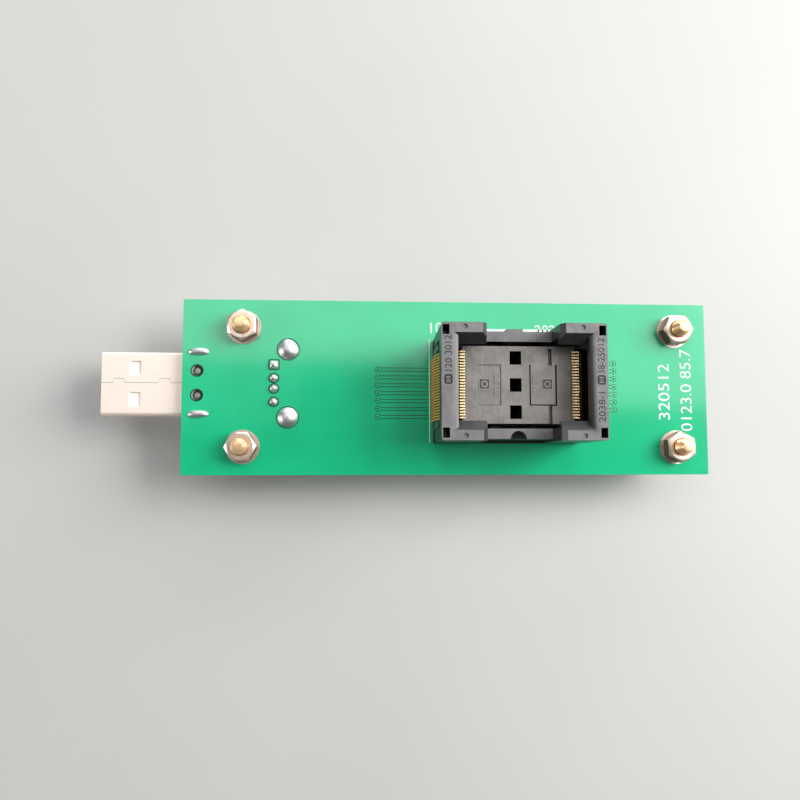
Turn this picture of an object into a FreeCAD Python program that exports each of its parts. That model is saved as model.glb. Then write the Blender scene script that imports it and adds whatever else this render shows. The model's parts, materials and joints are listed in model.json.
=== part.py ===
import FreeCAD, Part

import math
import os
import re

import Sketcher

# USB adapter board with an open-top test socket for 48-lead flash chips, in millimetres.
#
# Frame: +X runs along the board away from the USB plug, +Z is up. The origin is the centre of
# the four standoff feet, on the plane that they stand on. Three groups of pieces are drawn in
# a frame of their own and then placed as a whole:
#   plug        x from its mouth, y from its middle, z from the board's underside
#   receptacle  x from its pin row, y from its middle, z from the board's underside
#   socket      x and y from its centre, z from the board's top face

SIZES = {
    "board": {
        "board_length": 100.0,
        "board_width": 33.0,
        "board_thickness": 1.6,
        "board_corner": 0.35,
        "board_shift": -2.54,
        "via_pitch": 1.5,
        "via_drill": 0.35,
        "left_via_x": -16.1,
        "left_via_y": -1.08,
        "right_via_x": 29.24,
        "right_via_y": 0.35,
    },
    "standoffs and nuts": {
        "stud_pitch_x": 82.5,
        "stud_pitch_y": 22.5,
        "stud_clearance": 3.2,
        "standoff_height": 10.0,
        "standoff_flats": 5.5,
        "standoff_bore": 2.5,
        "standoff_bore_depth": 7.0,
        "thread_diameter": 3.0,
        "stud_length": 6.0,
        "stud_point": 0.5,
        "stud_pilot": 1.9,
        "stud_pilot_length": 0.25,
        "nut_flats": 5.2,
        "nut_height": 2.4,
        "nut_bore": 3.1,
        "nut_mouth": 3.5,
        "nut_face": 4.8,
        "front_left_turn": 2.5,
        "rear_left_turn": 30.0,
        "front_right_turn": 33.0,
        "rear_right_turn": 2.0,
    },
    "usb plug": {
        "plug_mouth_x": -67.9,
        "plug_centre_y": 0.7,
        "plug_length": 19.6,
        "plug_width": 12.0,
        "plug_height": 4.5,
        "plug_corner": 0.6,
        "shell_sheet": 0.3,
        "plug_window_x": 6.18,
        "plug_window_y": 2.95,
        "plug_window_length": 2.15,
        "plug_window_width": 2.7,
        "plug_window_corner": 0.35,
        "plug_tab_x": 18.4,
        "plug_tab_width": 2.4,
        "plug_tab_slot_length": 3.0,
        "plug_tab_slot_width": 0.9,
        "plug_tab_above": 0.3,
        "plug_tongue_thickness": 1.95,
        "plug_tongue_setback": 0.4,
        "plug_plastic_play": 0.05,
        "plug_block_x": 12.0,
        "plug_peg_x": 18.1,
        "plug_peg_y": 2.3,
        "plug_peg_diameter": 1.35,
        "plug_peg_hole": 1.95,
        "plug_peg_height": 1.1,
    },
    "usb contacts": {
        "outer_contact_y": 3.5,
        "inner_contact_y": 1.0,
        "usb_contact_width": 1.1,
        "usb_contact_sheet": 0.25,
        "usb_contact_bite": 0.1,
        "plug_pad_length": 1.5,
        "plug_outer_start": 1.6,
        "plug_inner_start": 2.6,
    },
    "usb receptacle": {
        "receptacle_pin_x": -35.56,
        "receptacle_y": 0.68,
        "receptacle_length": 14.0,
        "receptacle_width": 13.14,
        "receptacle_height": 7.0,
        "receptacle_corner": 0.5,
        "receptacle_overhang": 1.5,
        "receptacle_block": 4.0,
        "receptacle_tongue_thickness": 1.84,
        "receptacle_tongue_width": 11.1,
        "receptacle_tongue_end": 11.2,
        "receptacle_flare": 0.6,
        "receptacle_tab_x": 2.71,
        "receptacle_tab_width": 2.0,
        "receptacle_tab_hole": 2.4,
        "receptacle_contact_end": 9.8,
        "receptacle_tab_above": 0.1,
        "receptacle_spring_setback": 2.0,
        "receptacle_spring_length": 6.0,
        "receptacle_spring_width": 2.2,
        "spring_slit": 0.35,
        "usb_pin_width": 0.6,
        "usb_pin_hole": 0.95,
        "usb_pin_above": 0.7,
    },
    "solder": {
        "pin_solder": 1.8,
        "pin_solder_height": 0.9,
        "tab_solder": 4.1,
        "tab_solder_height": 1.0,
        "slot_solder_length": 3.8,
        "slot_solder_width": 1.55,
        "slot_solder_height": 0.75,
        "tail_solder": 0.8,
        "tail_solder_height": 0.6,
    },
    "socket": {
        "socket_x": 8.21,
        "socket_y": -0.75,
        "socket_length": 28.0,
        "socket_width": 19.7,
        "socket_height": 15.0,
        "flange_height": 1.8,
        "post_x": 13.2,
        "post_y": 8.6,
        "post_length": 0.85,
        "post_width": 1.37,
        "post_top": 12.4,
        "cheek_inner": 6.35,
        "cheek_outer": 7.4,
        "cheek_step": 9.3,
        "cheek_step_x": 13.1,
        "cheek_top": 10.6,
        "cheek_setback": 0.1,
        "screen_outer": 13.83,
        "screen_inner": 13.12,
        "screen_bend": 7.4,
        "screen_top": 9.1,
        "screen_top_outer": 13.02,
        "screen_top_inner": 12.72,
        "hook_x": 3.5,
        "hook_width": 1.6,
        "hook_inner": 6.9,
        "hook_reach": 0.55,
        "hook_bottom": 5.9,
        "hook_top": 6.9,
    },
    "cover": {
        "cover_bottom": 4.6,
        "cover_corner": 0.5,
        "opening_length": 23.7,
        "opening_width": 16.26,
        "lip_reach": 0.75,
        "lip_bottom": 13.5,
        "lip_shoulder": 14.55,
        "guide_inner": 6.5,
        "guide_bottom": 13.2,
        "guide_land": 0.17,
        "skirt_bottom": 12.0,
        "skirt_thickness": 0.7,
        "rail_inner": 7.6,
        "rail_top": 10.0,
        "rail_inset": 0.45,
        "notch_half": 6.25,
        "notch_chamfer": 0.75,
        "notch_taper": 0.2,
        "thumb_radius": 1.4,
        "thumb_floor": 7.0,
        "corner_hole_length": 1.15,
        "corner_hole_width": 1.67,
        "rail_tab_x": -0.5,
        "rail_tab_length": 2.94,
        "catch_play": 0.3,
        "catch_behind": 0.1,
        "catch_bottom": 5.85,
        "catch_top": 9.6,
    },
    "cover springs": {
        "spring_x": 9.0,
        "spring_y": 8.72,
        "spring_pocket": 1.7,
        "spring_seat": 1.0,
        "spring_roof": 12.0,
        "spring_radius": 0.55,
        "spring_wire": 0.2,
        "spring_turns": 12,
        "spring_play": 0.03,
    },
    "chip nest": {
        "nest_length": 19.7,
        "nest_width": 13.6,
        "nest_bottom": 8.0,
        "nest_top": 10.0,
        "pedestal_width": 13.2,
        "nest_hole_length": 2.0,
        "nest_hole_width": 2.28,
        "nest_hole_x": -0.45,
        "nest_hole_pitch": 4.75,
        "groove_width": 0.2,
        "groove_depth": 0.6,
        "panel_half_width": 3.5,
        "left_panel_x": -5.08,
        "left_panel_length": 4.04,
        "panel_sink": 0.12,
        "right_panel_x": 4.4,
        "right_panel_length": 4.6,
        "channel_width": 0.62,
        "upper_channel_x": 5.65,
        "upper_channel_end": 6.3,
        "lower_channel_x": 5.65,
    },
    "contacts": {
        "contact_pitch": 0.5,
        "contact_count": 24,
        "contact_thickness": 0.28,
        "pivot_x": 12.3,
        "pivot_z": 3.0,
        "arm_half": 0.22,
        "elbow_z": 7.3,
        "tip_end": 9.3,
        "tip_flat": 10.25,
        "tip_root": 10.6,
        "tip_gap": 0.05,
        "tip_height": 0.45,
        "tip_rounding": 0.1,
        "tip_root_drop": 0.25,
        "elbow_inset": 0.44,
        "elbow_drop": 0.4,
        "elbow_reach": 1.0,
        "stem_outer": 14.2,
        "stem_leg": 0.3,
        "stem_bottom": 0.1,
        "stem_bend": 5.2,
        "stem_top": 9.3,
        "stem_top_outer": 13.1,
        "foot_bottom": 1.0,
        "foot_top": 2.2,
        "stem_gap": 0.05,
        "inner_tail_x": 11.2,
        "outer_tail_x": 12.7,
        "tail_width": 0.34,
        "tail_below_board": 0.9,
        "tail_hole": 0.7,
        "foot_inner": 11.0,
    },
    "controller": {
        "controller_side": 7.0,
        "controller_height": 1.4,
        "controller_lift": 0.1,
        "lead_pitch": 0.5,
        "leads_a_side": 12,
        "lead_width": 0.22,
        "lead_sheet": 0.15,
        "lead_reach": 1.0,
    },
    "small parts": {
        "crystal_length": 3.2,
        "crystal_width": 2.5,
        "crystal_base_height": 0.4,
        "crystal_lid_height": 0.4,
        "crystal_rim": 0.25,
        "regulator_length": 2.9,
        "regulator_width": 1.6,
        "regulator_height": 1.1,
        "regulator_lift": 0.1,
        "regulator_lead_pitch": 0.95,
        "regulator_lead_width": 0.4,
        "regulator_lead_reach": 0.6,
        "chip_part_length": 1.2,
        "chip_part_width": 0.8,
        "capacitor_height": 0.8,
        "resistor_height": 0.45,
        "chip_end": 0.35,
        "led_height": 0.5,
        "led_lens_height": 0.35,
    },
}

BOARD_TOP = "(standoff_height + board_thickness)"
UNDERSIDE = "standoff_height"
CUT_PAST = "1"  # how far a cutting tool runs past the face that it opens
CORNERS = {"front_left": (-1, -1), "rear_left": (-1, 1), "front_right": (1, -1), "rear_right": (1, 1)}
USB_LINES = ("outer_contact_y", "inner_contact_y", "-inner_contact_y", "-outer_contact_y")
BOTH_SIDES = {"left": -1, "right": 1}

# Middles of the small parts under the board, as x, y and the turn about z in degrees.
CONTROLLER_PLACE = ("socket_x", "socket_y")
CRYSTAL_PLACE = ("0.4", "1.6")
REGULATOR_PLACE = ("-13.5", "10.5")
LED_PLACE = (33.0, -13.6, 0)
CAPACITOR_PLACES = (
    (0.4, -1.2, 0),
    (0.4, 4.4, 0),
    (8.2, 6.2, 0),
    (8.2, -7.6, 0),
    (15.4, 1.6, 90),
    (15.4, -3.0, 90),
    (-17.5, 10.5, 90),
    (-9.6, 10.5, 90),
)
RESISTOR_PLACES = (
    (-20.2, 1.7, 0),
    (-20.2, -0.3, 0),
    (0.4, -4.2, 0),
    (12.2, 6.2, 0),
    (4.2, 6.2, 0),
    (29.4, -13.6, 0),
)

doc = FreeCAD.newDocument("flash_socket_adapter")
aliases = set()
subparts = {}


# ---------------------------------------------------------------- the sheet and its bindings
def fill_sheet():
    sheet = doc.addObject("Spreadsheet::Sheet", "dims")
    row = 1
    for section, sizes in SIZES.items():
        sheet.set(f"A{row}", section)
        row += 1
        for alias, size in sizes.items():
            sheet.set(f"A{row}", alias.replace("_", " "))
            sheet.set(f"B{row}", str(size))
            sheet.setAlias(f"B{row}", alias)
            aliases.add(alias)
            row += 1
    doc.recompute()
    return sheet


def bind(thing, prop, expression):
    """Tie a property to an expression in which every alias stands for its cell of the sheet."""

    def cell(word):
        return f"dims.{word[0]}" if word[0] in aliases else word[0]

    thing.setExpression(prop, re.sub(r"[a-z]\w*", cell, expression))


def move(thing, x="0", y="0", z="0"):
    for axis, expression in zip("xyz", (x, y, z)):
        bind(thing, f".Placement.Base.{axis}", expression)
    return thing


def turn(thing, angle):
    """Turn a thing about its own z axis, by degrees."""
    bind(thing, ".Placement.Rotation.Angle", angle)
    return thing


def subpart(node, thing):
    """Name a finished piece; its label is also its file's name."""
    thing.Label = node
    subparts[node] = thing
    return thing


# ---------------------------------------------------------------- primitives and booleans
def box(name, size, middle=("0", "0"), bottom="0"):
    """A box with its middle in x and y, and its lowest z."""
    solid = doc.addObject("Part::Box", name)
    for side, expression in zip(("Length", "Width", "Height"), size):
        bind(solid, side, expression)
    corner_x, corner_y = (f"{centre} - ({side}) / 2" for centre, side in zip(middle, size))
    return move(solid, corner_x, corner_y, bottom)


def span_box(name, x, y, z):
    """A box between two expressions along each axis, the lower one first."""
    solid = doc.addObject("Part::Box", name)
    for side, (low, high) in zip(("Length", "Width", "Height"), (x, y, z)):
        bind(solid, side, f"({high}) - ({low})")
    return move(solid, x[0], y[0], z[0])


def cylinder(name, diameter, height, middle=("0", "0"), bottom="0"):
    solid = doc.addObject("Part::Cylinder", name)
    bind(solid, "Radius", f"({diameter}) / 2")
    bind(solid, "Height", height)
    return move(solid, middle[0], middle[1], bottom)


def cone(name, lower, upper, height, middle=("0", "0"), bottom="0"):
    """A truncated cone from its lower and upper diameters."""
    solid = doc.addObject("Part::Cone", name)
    bind(solid, "Radius1", f"({lower}) / 2")
    bind(solid, "Radius2", f"({upper}) / 2")
    bind(solid, "Height", height)
    return move(solid, middle[0], middle[1], bottom)


def hexagon(name, flats, height, middle, bottom, angle):
    solid = doc.addObject("Part::Prism", name)
    solid.Polygon = 6
    bind(solid, "Circumradius", f"({flats}) / sqrt(3)")
    bind(solid, "Height", height)
    move(solid, middle[0], middle[1], bottom)
    return turn(solid, angle)


def dome(name, length, width, height, middle, bottom, up=True):
    """Half an ellipsoid standing on a face, or hanging under it."""
    solid = doc.addObject("Part::Ellipsoid", name)
    bind(solid, "Radius1", height)
    bind(solid, "Radius2", f"({length}) / 2")
    bind(solid, "Radius3", f"({width}) / 2")
    solid.Angle1 = 0 if up else -90
    solid.Angle2 = 90 if up else 0
    return move(solid, middle[0], middle[1], bottom)


def fuse(name, solids):
    joined = doc.addObject("Part::MultiFuse", name)
    joined.Shapes = list(solids)
    return joined


def common(name, solids):
    shared = doc.addObject("Part::MultiCommon", name)
    shared.Shapes = list(solids)
    return shared


def group(name, solids):
    """Separate solids kept together as one piece of the parts list."""
    together = doc.addObject("Part::Compound", name)
    together.Links = list(solids)
    return together


def cut(name, base, tools):
    left = doc.addObject("Part::Cut", name)
    left.Base = base
    left.Tool = group(f"{name}_tools", tools)
    return left


# ---------------------------------------------------------------- sketched bodies
def origin_feature(body, role):
    return next(feature for feature in body.Origin.OriginFeatures if feature.Role == role)


def outline(body, name, plane, corners):
    """A closed sketch of straight sides; each corner is a pair of expressions, across and up."""
    sketch = body.newObject("Sketcher::SketchObject", name)
    sketch.AttachmentSupport = (origin_feature(body, plane), [""])
    sketch.MapMode = "FlatFace"
    count = len(corners)
    ring = [
        FreeCAD.Vector(math.cos(2 * math.pi * k / count), math.sin(2 * math.pi * k / count), 0)
        for k in range(count)
    ]
    for k in range(count):
        sketch.addGeometry(Part.LineSegment(ring[k], ring[(k + 1) % count]))
    for k in range(count):
        sketch.addConstraint(Sketcher.Constraint("Coincident", k, 2, (k + 1) % count, 1))
    for k, corner in enumerate(corners):
        for kind, expression in zip(("DistanceX", "DistanceY"), corner):
            index = sketch.addConstraint(Sketcher.Constraint(kind, -1, 1, k, 1, 1.0))
            bind(sketch, f"Constraints[{index}]", expression)
    return sketch


def pad(body, sketch, length, both_ways=False):
    solid = body.newObject("PartDesign::Pad", f"{sketch.Name}_pad")
    solid.Profile = sketch
    bind(solid, "Length", length)
    if both_ways:
        solid.SideType = "Symmetric"
    body.Tip = solid
    return solid


def repeat(body, feature, axis, pitch, count):
    """Repeat a feature along one of the body's axes, as separate solids."""
    pattern = body.newObject("PartDesign::LinearPattern", f"{feature.Name}_row")
    pattern.Originals = [feature]
    pattern.Direction = (origin_feature(body, axis), [""])
    bind(pattern, "Length", f"({pitch}) * ({count} - 1)")
    bind(pattern, "Occurrences", count)
    body.Tip = pattern
    return pattern


def rectangle(width, height, bottom=None):
    """Corners of a rectangle with its middle at zero, or standing on bottom."""
    low, high = (f"-({height}) / 2", f"({height}) / 2")
    if bottom is not None:
        low, high = bottom, f"{bottom} + {height}"
    half = f"({width}) / 2"
    return [(f"-{half}", low), (half, low), (half, high), (f"-{half}", high)]


def rounded_bar(name, plane, corners, length, radius):
    """A padded rectangle whose long edges are rounded."""
    body = doc.addObject("PartDesign::Body", name)
    solid = pad(body, outline(body, f"{name}_outline", plane, corners), length)
    doc.recompute()
    along = {"XY_Plane": FreeCAD.Vector(0, 0, 1), "YZ_Plane": FreeCAD.Vector(1, 0, 0)}[plane]
    edges = [
        f"Edge{k}"
        for k, edge in enumerate(solid.Shape.Edges, 1)
        if abs(edge.tangentAt(edge.FirstParameter).dot(along)) > 0.99
    ]
    round_over = body.newObject("PartDesign::Fillet", f"{name}_rounding")
    round_over.Base = (solid, edges)
    bind(round_over, "Radius", radius)
    body.Tip = round_over
    return body


def straight_bar(name, plane, corners, length):
    """A padded outline, spread evenly to both sides of its plane."""
    body = doc.addObject("PartDesign::Body", name)
    pad(body, outline(body, f"{name}_outline", plane, corners), length, both_ways=True)
    return body


# ---------------------------------------------------------------- places that repeat
def mirrored_span(sign, low, high):
    """A span given on the positive side, or its mirror image."""
    return (low, high) if sign > 0 else (f"-({high})", f"-({low})")


def stud_middles():
    """Name, then x and y, of the four standoffs."""
    for corner, (side_x, side_y) in CORNERS.items():
        yield corner, (f"{side_x} * stud_pitch_x / 2", f"{side_y} * stud_pitch_y / 2")


def via_middles():
    """The two rows of vias beside the socket."""
    for side in BOTH_SIDES:
        for k in range(-3, 4):
            yield f"{side}_via_{k + 4}", (f"{side}_via_x", f"{side}_via_y + {k} * via_pitch")


def tail_middles():
    """Where each contact's tail passes the board; neighbours alternate between two rows."""
    for side, sign in BOTH_SIDES.items():
        for k in range(int(SIZES["contacts"]["contact_count"])):
            row = "inner_tail_x" if k % 2 else "outer_tail_x"
            across = f"socket_y + (2 * {k} + 1 - contact_count) * contact_pitch / 2"
            yield f"{side}_tail_{k + 1}", (f"socket_x + {sign} * {row}", across)


def peg_middles():
    for sign in (-1, 1):
        yield f"peg_{sign + 1}", (
            "plug_mouth_x + plug_peg_x",
            f"plug_centre_y + {sign} * plug_peg_y",
        )


def tab_middles():
    """The plug's tabs, in the middle of the side sheets."""
    for sign in (-1, 1):
        yield f"plug_tab_{sign + 1}", (
            "plug_mouth_x + plug_tab_x",
            f"plug_centre_y + {sign} * (plug_width - shell_sheet) / 2",
        )


def receptacle_tab_middles():
    for sign in (-1, 1):
        yield f"receptacle_tab_{sign + 1}", (
            "receptacle_pin_x + receptacle_tab_x",
            f"receptacle_y + {sign} * (receptacle_width - shell_sheet) / 2",
        )


def receptacle_pin_middles():
    for k, line in enumerate(USB_LINES, 1):
        yield f"receptacle_pin_{k}", ("receptacle_pin_x", f"receptacle_y + {line}")


# ---------------------------------------------------------------- board and fasteners
def make_board():
    footprint = rectangle("board_length", "board_width")
    plate = rounded_bar("board_plate", "XY_Plane", footprint, "board_thickness", "board_corner")
    move(plate, "board_shift", "0", UNDERSIDE)
    bottom = f"{UNDERSIDE} - {CUT_PAST}"
    through = f"board_thickness + 2 * {CUT_PAST}"
    drills = [
        (stud_middles(), "stud_clearance"),
        (via_middles(), "via_drill"),
        (tail_middles(), "tail_hole"),
        (peg_middles(), "plug_peg_hole"),
        (receptacle_tab_middles(), "receptacle_tab_hole"),
        (receptacle_pin_middles(), "usb_pin_hole"),
    ]
    tools = [
        cylinder(f"{name}_drill", diameter, through, middle, bottom)
        for middles, diameter in drills
        for name, middle in middles
    ]
    slot = ("plug_tab_slot_length", "plug_tab_slot_width", through)
    tools += [box(f"{name}_slot", slot, middle, bottom) for name, middle in tab_middles()]
    subpart("circuit_board", cut("circuit_board", plate, tools))


def make_standoffs():
    """Hexagonal spacers with a threaded bore below and a threaded stud above."""
    shank = "stud_length - stud_point - stud_pilot_length"
    point_bottom = f"standoff_height + {shank}"
    pilot_bottom = f"{point_bottom} + stud_point"
    spacers = []
    for corner, middle in stud_middles():
        pieces = [
            hexagon(f"{corner}_hexagon", "standoff_flats", "standoff_height", middle, "0", "0"),
            cylinder(f"{corner}_shank", "thread_diameter", shank, middle, "standoff_height"),
            cone(f"{corner}_point", "thread_diameter", "stud_pilot", "stud_point", middle, point_bottom),
            cylinder(f"{corner}_pilot", "stud_pilot", "stud_pilot_length", middle, pilot_bottom),
        ]
        depth = f"standoff_bore_depth + {CUT_PAST}"
        bore = cylinder(f"{corner}_bore", "standoff_bore", depth, middle, f"-{CUT_PAST}")
        spacers.append(cut(f"{corner}_standoff", fuse(f"{corner}_spacer", pieces), [bore]))
    subpart("brass_standoffs", group("brass_standoffs", spacers))


def make_nuts():
    """Hexagon nuts with both faces turned to a 30 degree chamfer and a countersunk bore."""
    foot = "(nut_face + 2 * nut_height * sqrt(3))"
    nuts = []
    for corner, middle in stud_middles():
        seat = ("nut_height", middle, BOARD_TOP)
        blank = common(
            f"{corner}_nut_blank",
            [
                hexagon(f"{corner}_nut_hexagon", "nut_flats", *seat, f"{corner}_turn"),
                cone(f"{corner}_nut_upper", foot, "nut_face", *seat),
                cone(f"{corner}_nut_lower", "nut_face", foot, *seat),
            ],
        )
        sink = "(nut_mouth - nut_bore) / 2"
        sink_bottom = f"{BOARD_TOP} + nut_height - {sink}"
        tools = [
            cylinder(f"{corner}_nut_bore", "nut_bore", "nut_height", middle, BOARD_TOP),
            cone(f"{corner}_nut_sink", "nut_bore", "nut_mouth", sink, middle, sink_bottom),
        ]
        nuts.append(cut(f"{corner}_nut", blank, tools))
    subpart("hex_nuts", group("hex_nuts", nuts))


# ---------------------------------------------------------------- usb plug, under the board
def place_plug(thing):
    return move(thing, "plug_mouth_x", "plug_centre_y", UNDERSIDE)


def make_plug_shell():
    outer = rounded_bar(
        "plug_outer",
        "YZ_Plane",
        rectangle("plug_width", "plug_height", "-plug_height"),
        "plug_length",
        "plug_corner",
    )
    inner_height = "plug_height - 2 * shell_sheet"
    inner_width = "plug_width - 2 * shell_sheet"
    hollow = rounded_bar(
        "plug_hollow",
        "YZ_Plane",
        rectangle(inner_width, inner_height, "-(plug_height - shell_sheet)"),
        "plug_length",
        "plug_corner - shell_sheet",
    )
    move(hollow, "-shell_sheet")
    window = rectangle("plug_window_length", "plug_window_width")
    through = f"plug_height + 2 * {CUT_PAST}"
    tools = [hollow]
    for sign in (-1, 1):
        opening = rounded_bar(f"plug_window_{sign + 1}", "XY_Plane", window, through, "plug_window_corner")
        move(opening, "plug_window_x", f"{sign} * plug_window_y", f"-plug_height - {CUT_PAST}")
        peg_middle = ("plug_peg_x", f"{sign} * plug_peg_y")
        gap = cylinder(f"plug_peg_gap_{sign + 1}", "plug_peg_hole", CUT_PAST, peg_middle, f"-{CUT_PAST}")
        tools += [opening, gap]
    contact_level = "-shell_sheet - plug_tongue_thickness"
    tools.append(
        span_box(
            "plug_rear_gap",
            ("plug_length - 2 * shell_sheet", f"plug_length + {CUT_PAST}"),
            ("-outer_contact_y - usb_contact_width", "outer_contact_y + usb_contact_width"),
            (f"{contact_level} - 2 * usb_contact_sheet", f"{contact_level} + 2 * usb_contact_sheet"),
        )
    )
    tab = ("plug_tab_width", "shell_sheet", "plug_corner + board_thickness + plug_tab_above")
    tab_y = "(plug_width - shell_sheet) / 2"
    tabs = [
        box(f"plug_tab_{sign + 1}", tab, ("plug_tab_x", f"{sign} * {tab_y}"), "-plug_corner")
        for sign in (-1, 1)
    ]
    folded = cut("plug_folded_sheet", outer, tools)
    shell = fuse("usb_plug_shell", [folded, *tabs])
    subpart("usb_plug_shell", place_plug(shell))


def make_plug_insulator():
    """A tongue against the shell's upper sheet, and a block that fills the shell's rear."""
    roof = "-shell_sheet"
    width = "plug_width - 2 * (shell_sheet + plug_plastic_play)"
    tongue = span_box(
        "plug_tongue",
        ("plug_tongue_setback", "plug_block_x"),
        (f"-({width}) / 2", f"({width}) / 2"),
        (f"{roof} - plug_tongue_thickness", roof),
    )
    block = span_box(
        "plug_block",
        ("plug_block_x", "plug_length - shell_sheet"),
        (f"-({width}) / 2", f"({width}) / 2"),
        ("-(plug_height - shell_sheet)", roof),
    )
    pegs = [
        cylinder(
            f"plug_peg_{sign + 1}",
            "plug_peg_diameter",
            "plug_peg_height + shell_sheet",
            ("plug_peg_x", f"{sign} * plug_peg_y"),
            roof,
        )
        for sign in (-1, 1)
    ]
    # The shell's inner corners are rounded, so the plastic's are cut to the same section.
    section = rounded_bar(
        "plug_insulator_section",
        "YZ_Plane",
        rectangle(width, "plug_height - 2 * shell_sheet", "-(plug_height - shell_sheet)"),
        "plug_length",
        "plug_corner - shell_sheet",
    )
    moulding = common("plug_moulding", [fuse("plug_moulding_block", [tongue, block]), section])
    subpart("usb_plug_insulator", place_plug(fuse("usb_plug_insulator", [moulding, *pegs])))


def make_plug_contacts():
    """Flat springs under the tongue; each turns up behind the shell to a pad on the board."""
    lower = "-shell_sheet - plug_tongue_thickness"
    strips = []
    for k, line in enumerate(USB_LINES, 1):
        across = (f"{line} - usb_contact_width / 2", f"{line} + usb_contact_width / 2")
        start = "plug_outer_start" if "outer" in line else "plug_inner_start"
        strip = span_box(
            f"plug_strip_{k}",
            (start, "plug_length + usb_contact_sheet"),
            across,
            (f"{lower} + usb_contact_bite - usb_contact_sheet", f"{lower} + usb_contact_bite"),
        )
        riser = span_box(
            f"plug_riser_{k}",
            ("plug_length", "plug_length + usb_contact_sheet"),
            across,
            (f"{lower} + usb_contact_bite - usb_contact_sheet", "0"),
        )
        foot = span_box(
            f"plug_foot_{k}",
            ("plug_length", "plug_length + plug_pad_length"),
            across,
            ("-usb_contact_sheet", "0"),
        )
        strips.append(fuse(f"plug_contact_{k}", [strip, riser, foot]))
    subpart("usb_plug_contacts", place_plug(group("usb_plug_contacts", strips)))


# ---------------------------------------------------------------- usb receptacle, under the board
def place_receptacle(thing):
    return move(thing, "receptacle_pin_x", "receptacle_y", UNDERSIDE)


def make_receptacle_shell():
    rear = "-receptacle_overhang"
    mouth = "receptacle_length - receptacle_overhang"
    outer = rounded_bar(
        "receptacle_outer",
        "YZ_Plane",
        rectangle("receptacle_width", "receptacle_height", "-receptacle_height"),
        "receptacle_length",
        "receptacle_corner",
    )
    move(outer, rear)
    hollow = rounded_bar(
        "receptacle_hollow",
        "YZ_Plane",
        rectangle(
            "receptacle_width - 2 * shell_sheet",
            "receptacle_height - 2 * shell_sheet",
            "-(receptacle_height - shell_sheet)",
        ),
        "receptacle_length",
        "receptacle_corner - shell_sheet",
    )
    move(hollow, f"{rear} + shell_sheet")
    floor_opening = span_box(
        "receptacle_rear_opening",
        (f"{rear} + shell_sheet", f"{rear} + receptacle_block"),
        ("-(receptacle_width / 2 - shell_sheet)", "receptacle_width / 2 - shell_sheet"),
        (f"-{CUT_PAST}", CUT_PAST),
    )
    tools = [hollow, floor_opening]
    spring_end = f"{mouth} - receptacle_spring_setback"
    spring_start = f"{spring_end} - receptacle_spring_length"
    for sign in (-1, 1):
        middle = f"{sign} * receptacle_width / 4"
        for edge in (-1, 1):
            slit = f"{middle} + {edge} * receptacle_spring_width / 2"
            tools.append(
                span_box(
                    f"spring_slit_{sign + 1}_{edge + 1}",
                    (spring_start, spring_end),
                    (f"{slit} - spring_slit / 2", f"{slit} + spring_slit / 2"),
                    (f"-receptacle_height - {CUT_PAST}", f"-receptacle_height + {CUT_PAST}"),
                )
            )
        tools.append(
            span_box(
                f"spring_end_{sign + 1}",
                (spring_start, f"{spring_start} + spring_slit"),
                (f"{middle} - receptacle_spring_width / 2", f"{middle} + receptacle_spring_width / 2"),
                (f"-receptacle_height - {CUT_PAST}", f"-receptacle_height + {CUT_PAST}"),
            )
        )
    folded = cut("receptacle_folded_sheet", outer, tools)
    half = "receptacle_width / 2"
    flares = [
        span_box(
            "receptacle_lower_flare",
            (f"{mouth} - shell_sheet", mouth),
            (f"-{half}", half),
            ("-receptacle_height - receptacle_flare", "-receptacle_height + shell_sheet"),
        )
    ]
    for sign in (-1, 1):
        flares.append(
            span_box(
                f"receptacle_side_flare_{sign + 1}",
                (f"{mouth} - shell_sheet", mouth),
                mirrored_span(sign, f"{half} - shell_sheet", f"{half} + receptacle_flare"),
                ("-receptacle_height + receptacle_corner", "-receptacle_corner"),
            )
        )
    tab_height = "receptacle_corner + board_thickness + receptacle_tab_above"
    tab = ("receptacle_tab_width", "shell_sheet", tab_height)
    tabs = [
        box(
            f"receptacle_tab_{sign + 1}",
            tab,
            ("receptacle_tab_x", f"{sign} * (receptacle_width - shell_sheet) / 2"),
            "-receptacle_corner",
        )
        for sign in (-1, 1)
    ]
    shell = fuse("usb_receptacle_shell", [folded, *flares, *tabs])
    subpart("usb_receptacle_shell", place_receptacle(shell))


def make_receptacle_insulator():
    """A rear block that carries the pins, and the tongue that the contacts lie on."""
    rear = "-receptacle_overhang + shell_sheet"
    half = "receptacle_width / 2 - shell_sheet"
    block = span_box(
        "receptacle_block",
        (rear, "receptacle_block - receptacle_overhang"),
        (f"-({half} - receptacle_corner)", f"{half} - receptacle_corner"),
        ("-(receptacle_height - shell_sheet)", "0"),
    )
    middle = "-receptacle_height / 2"
    tongue = span_box(
        "receptacle_tongue",
        ("receptacle_block - receptacle_overhang", "receptacle_tongue_end"),
        ("-receptacle_tongue_width / 2", "receptacle_tongue_width / 2"),
        (f"{middle} - receptacle_tongue_thickness / 2", f"{middle} + receptacle_tongue_thickness / 2"),
    )
    moulding = fuse("usb_receptacle_insulator", [block, tongue])
    subpart("usb_receptacle_insulator", place_receptacle(moulding))


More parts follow.
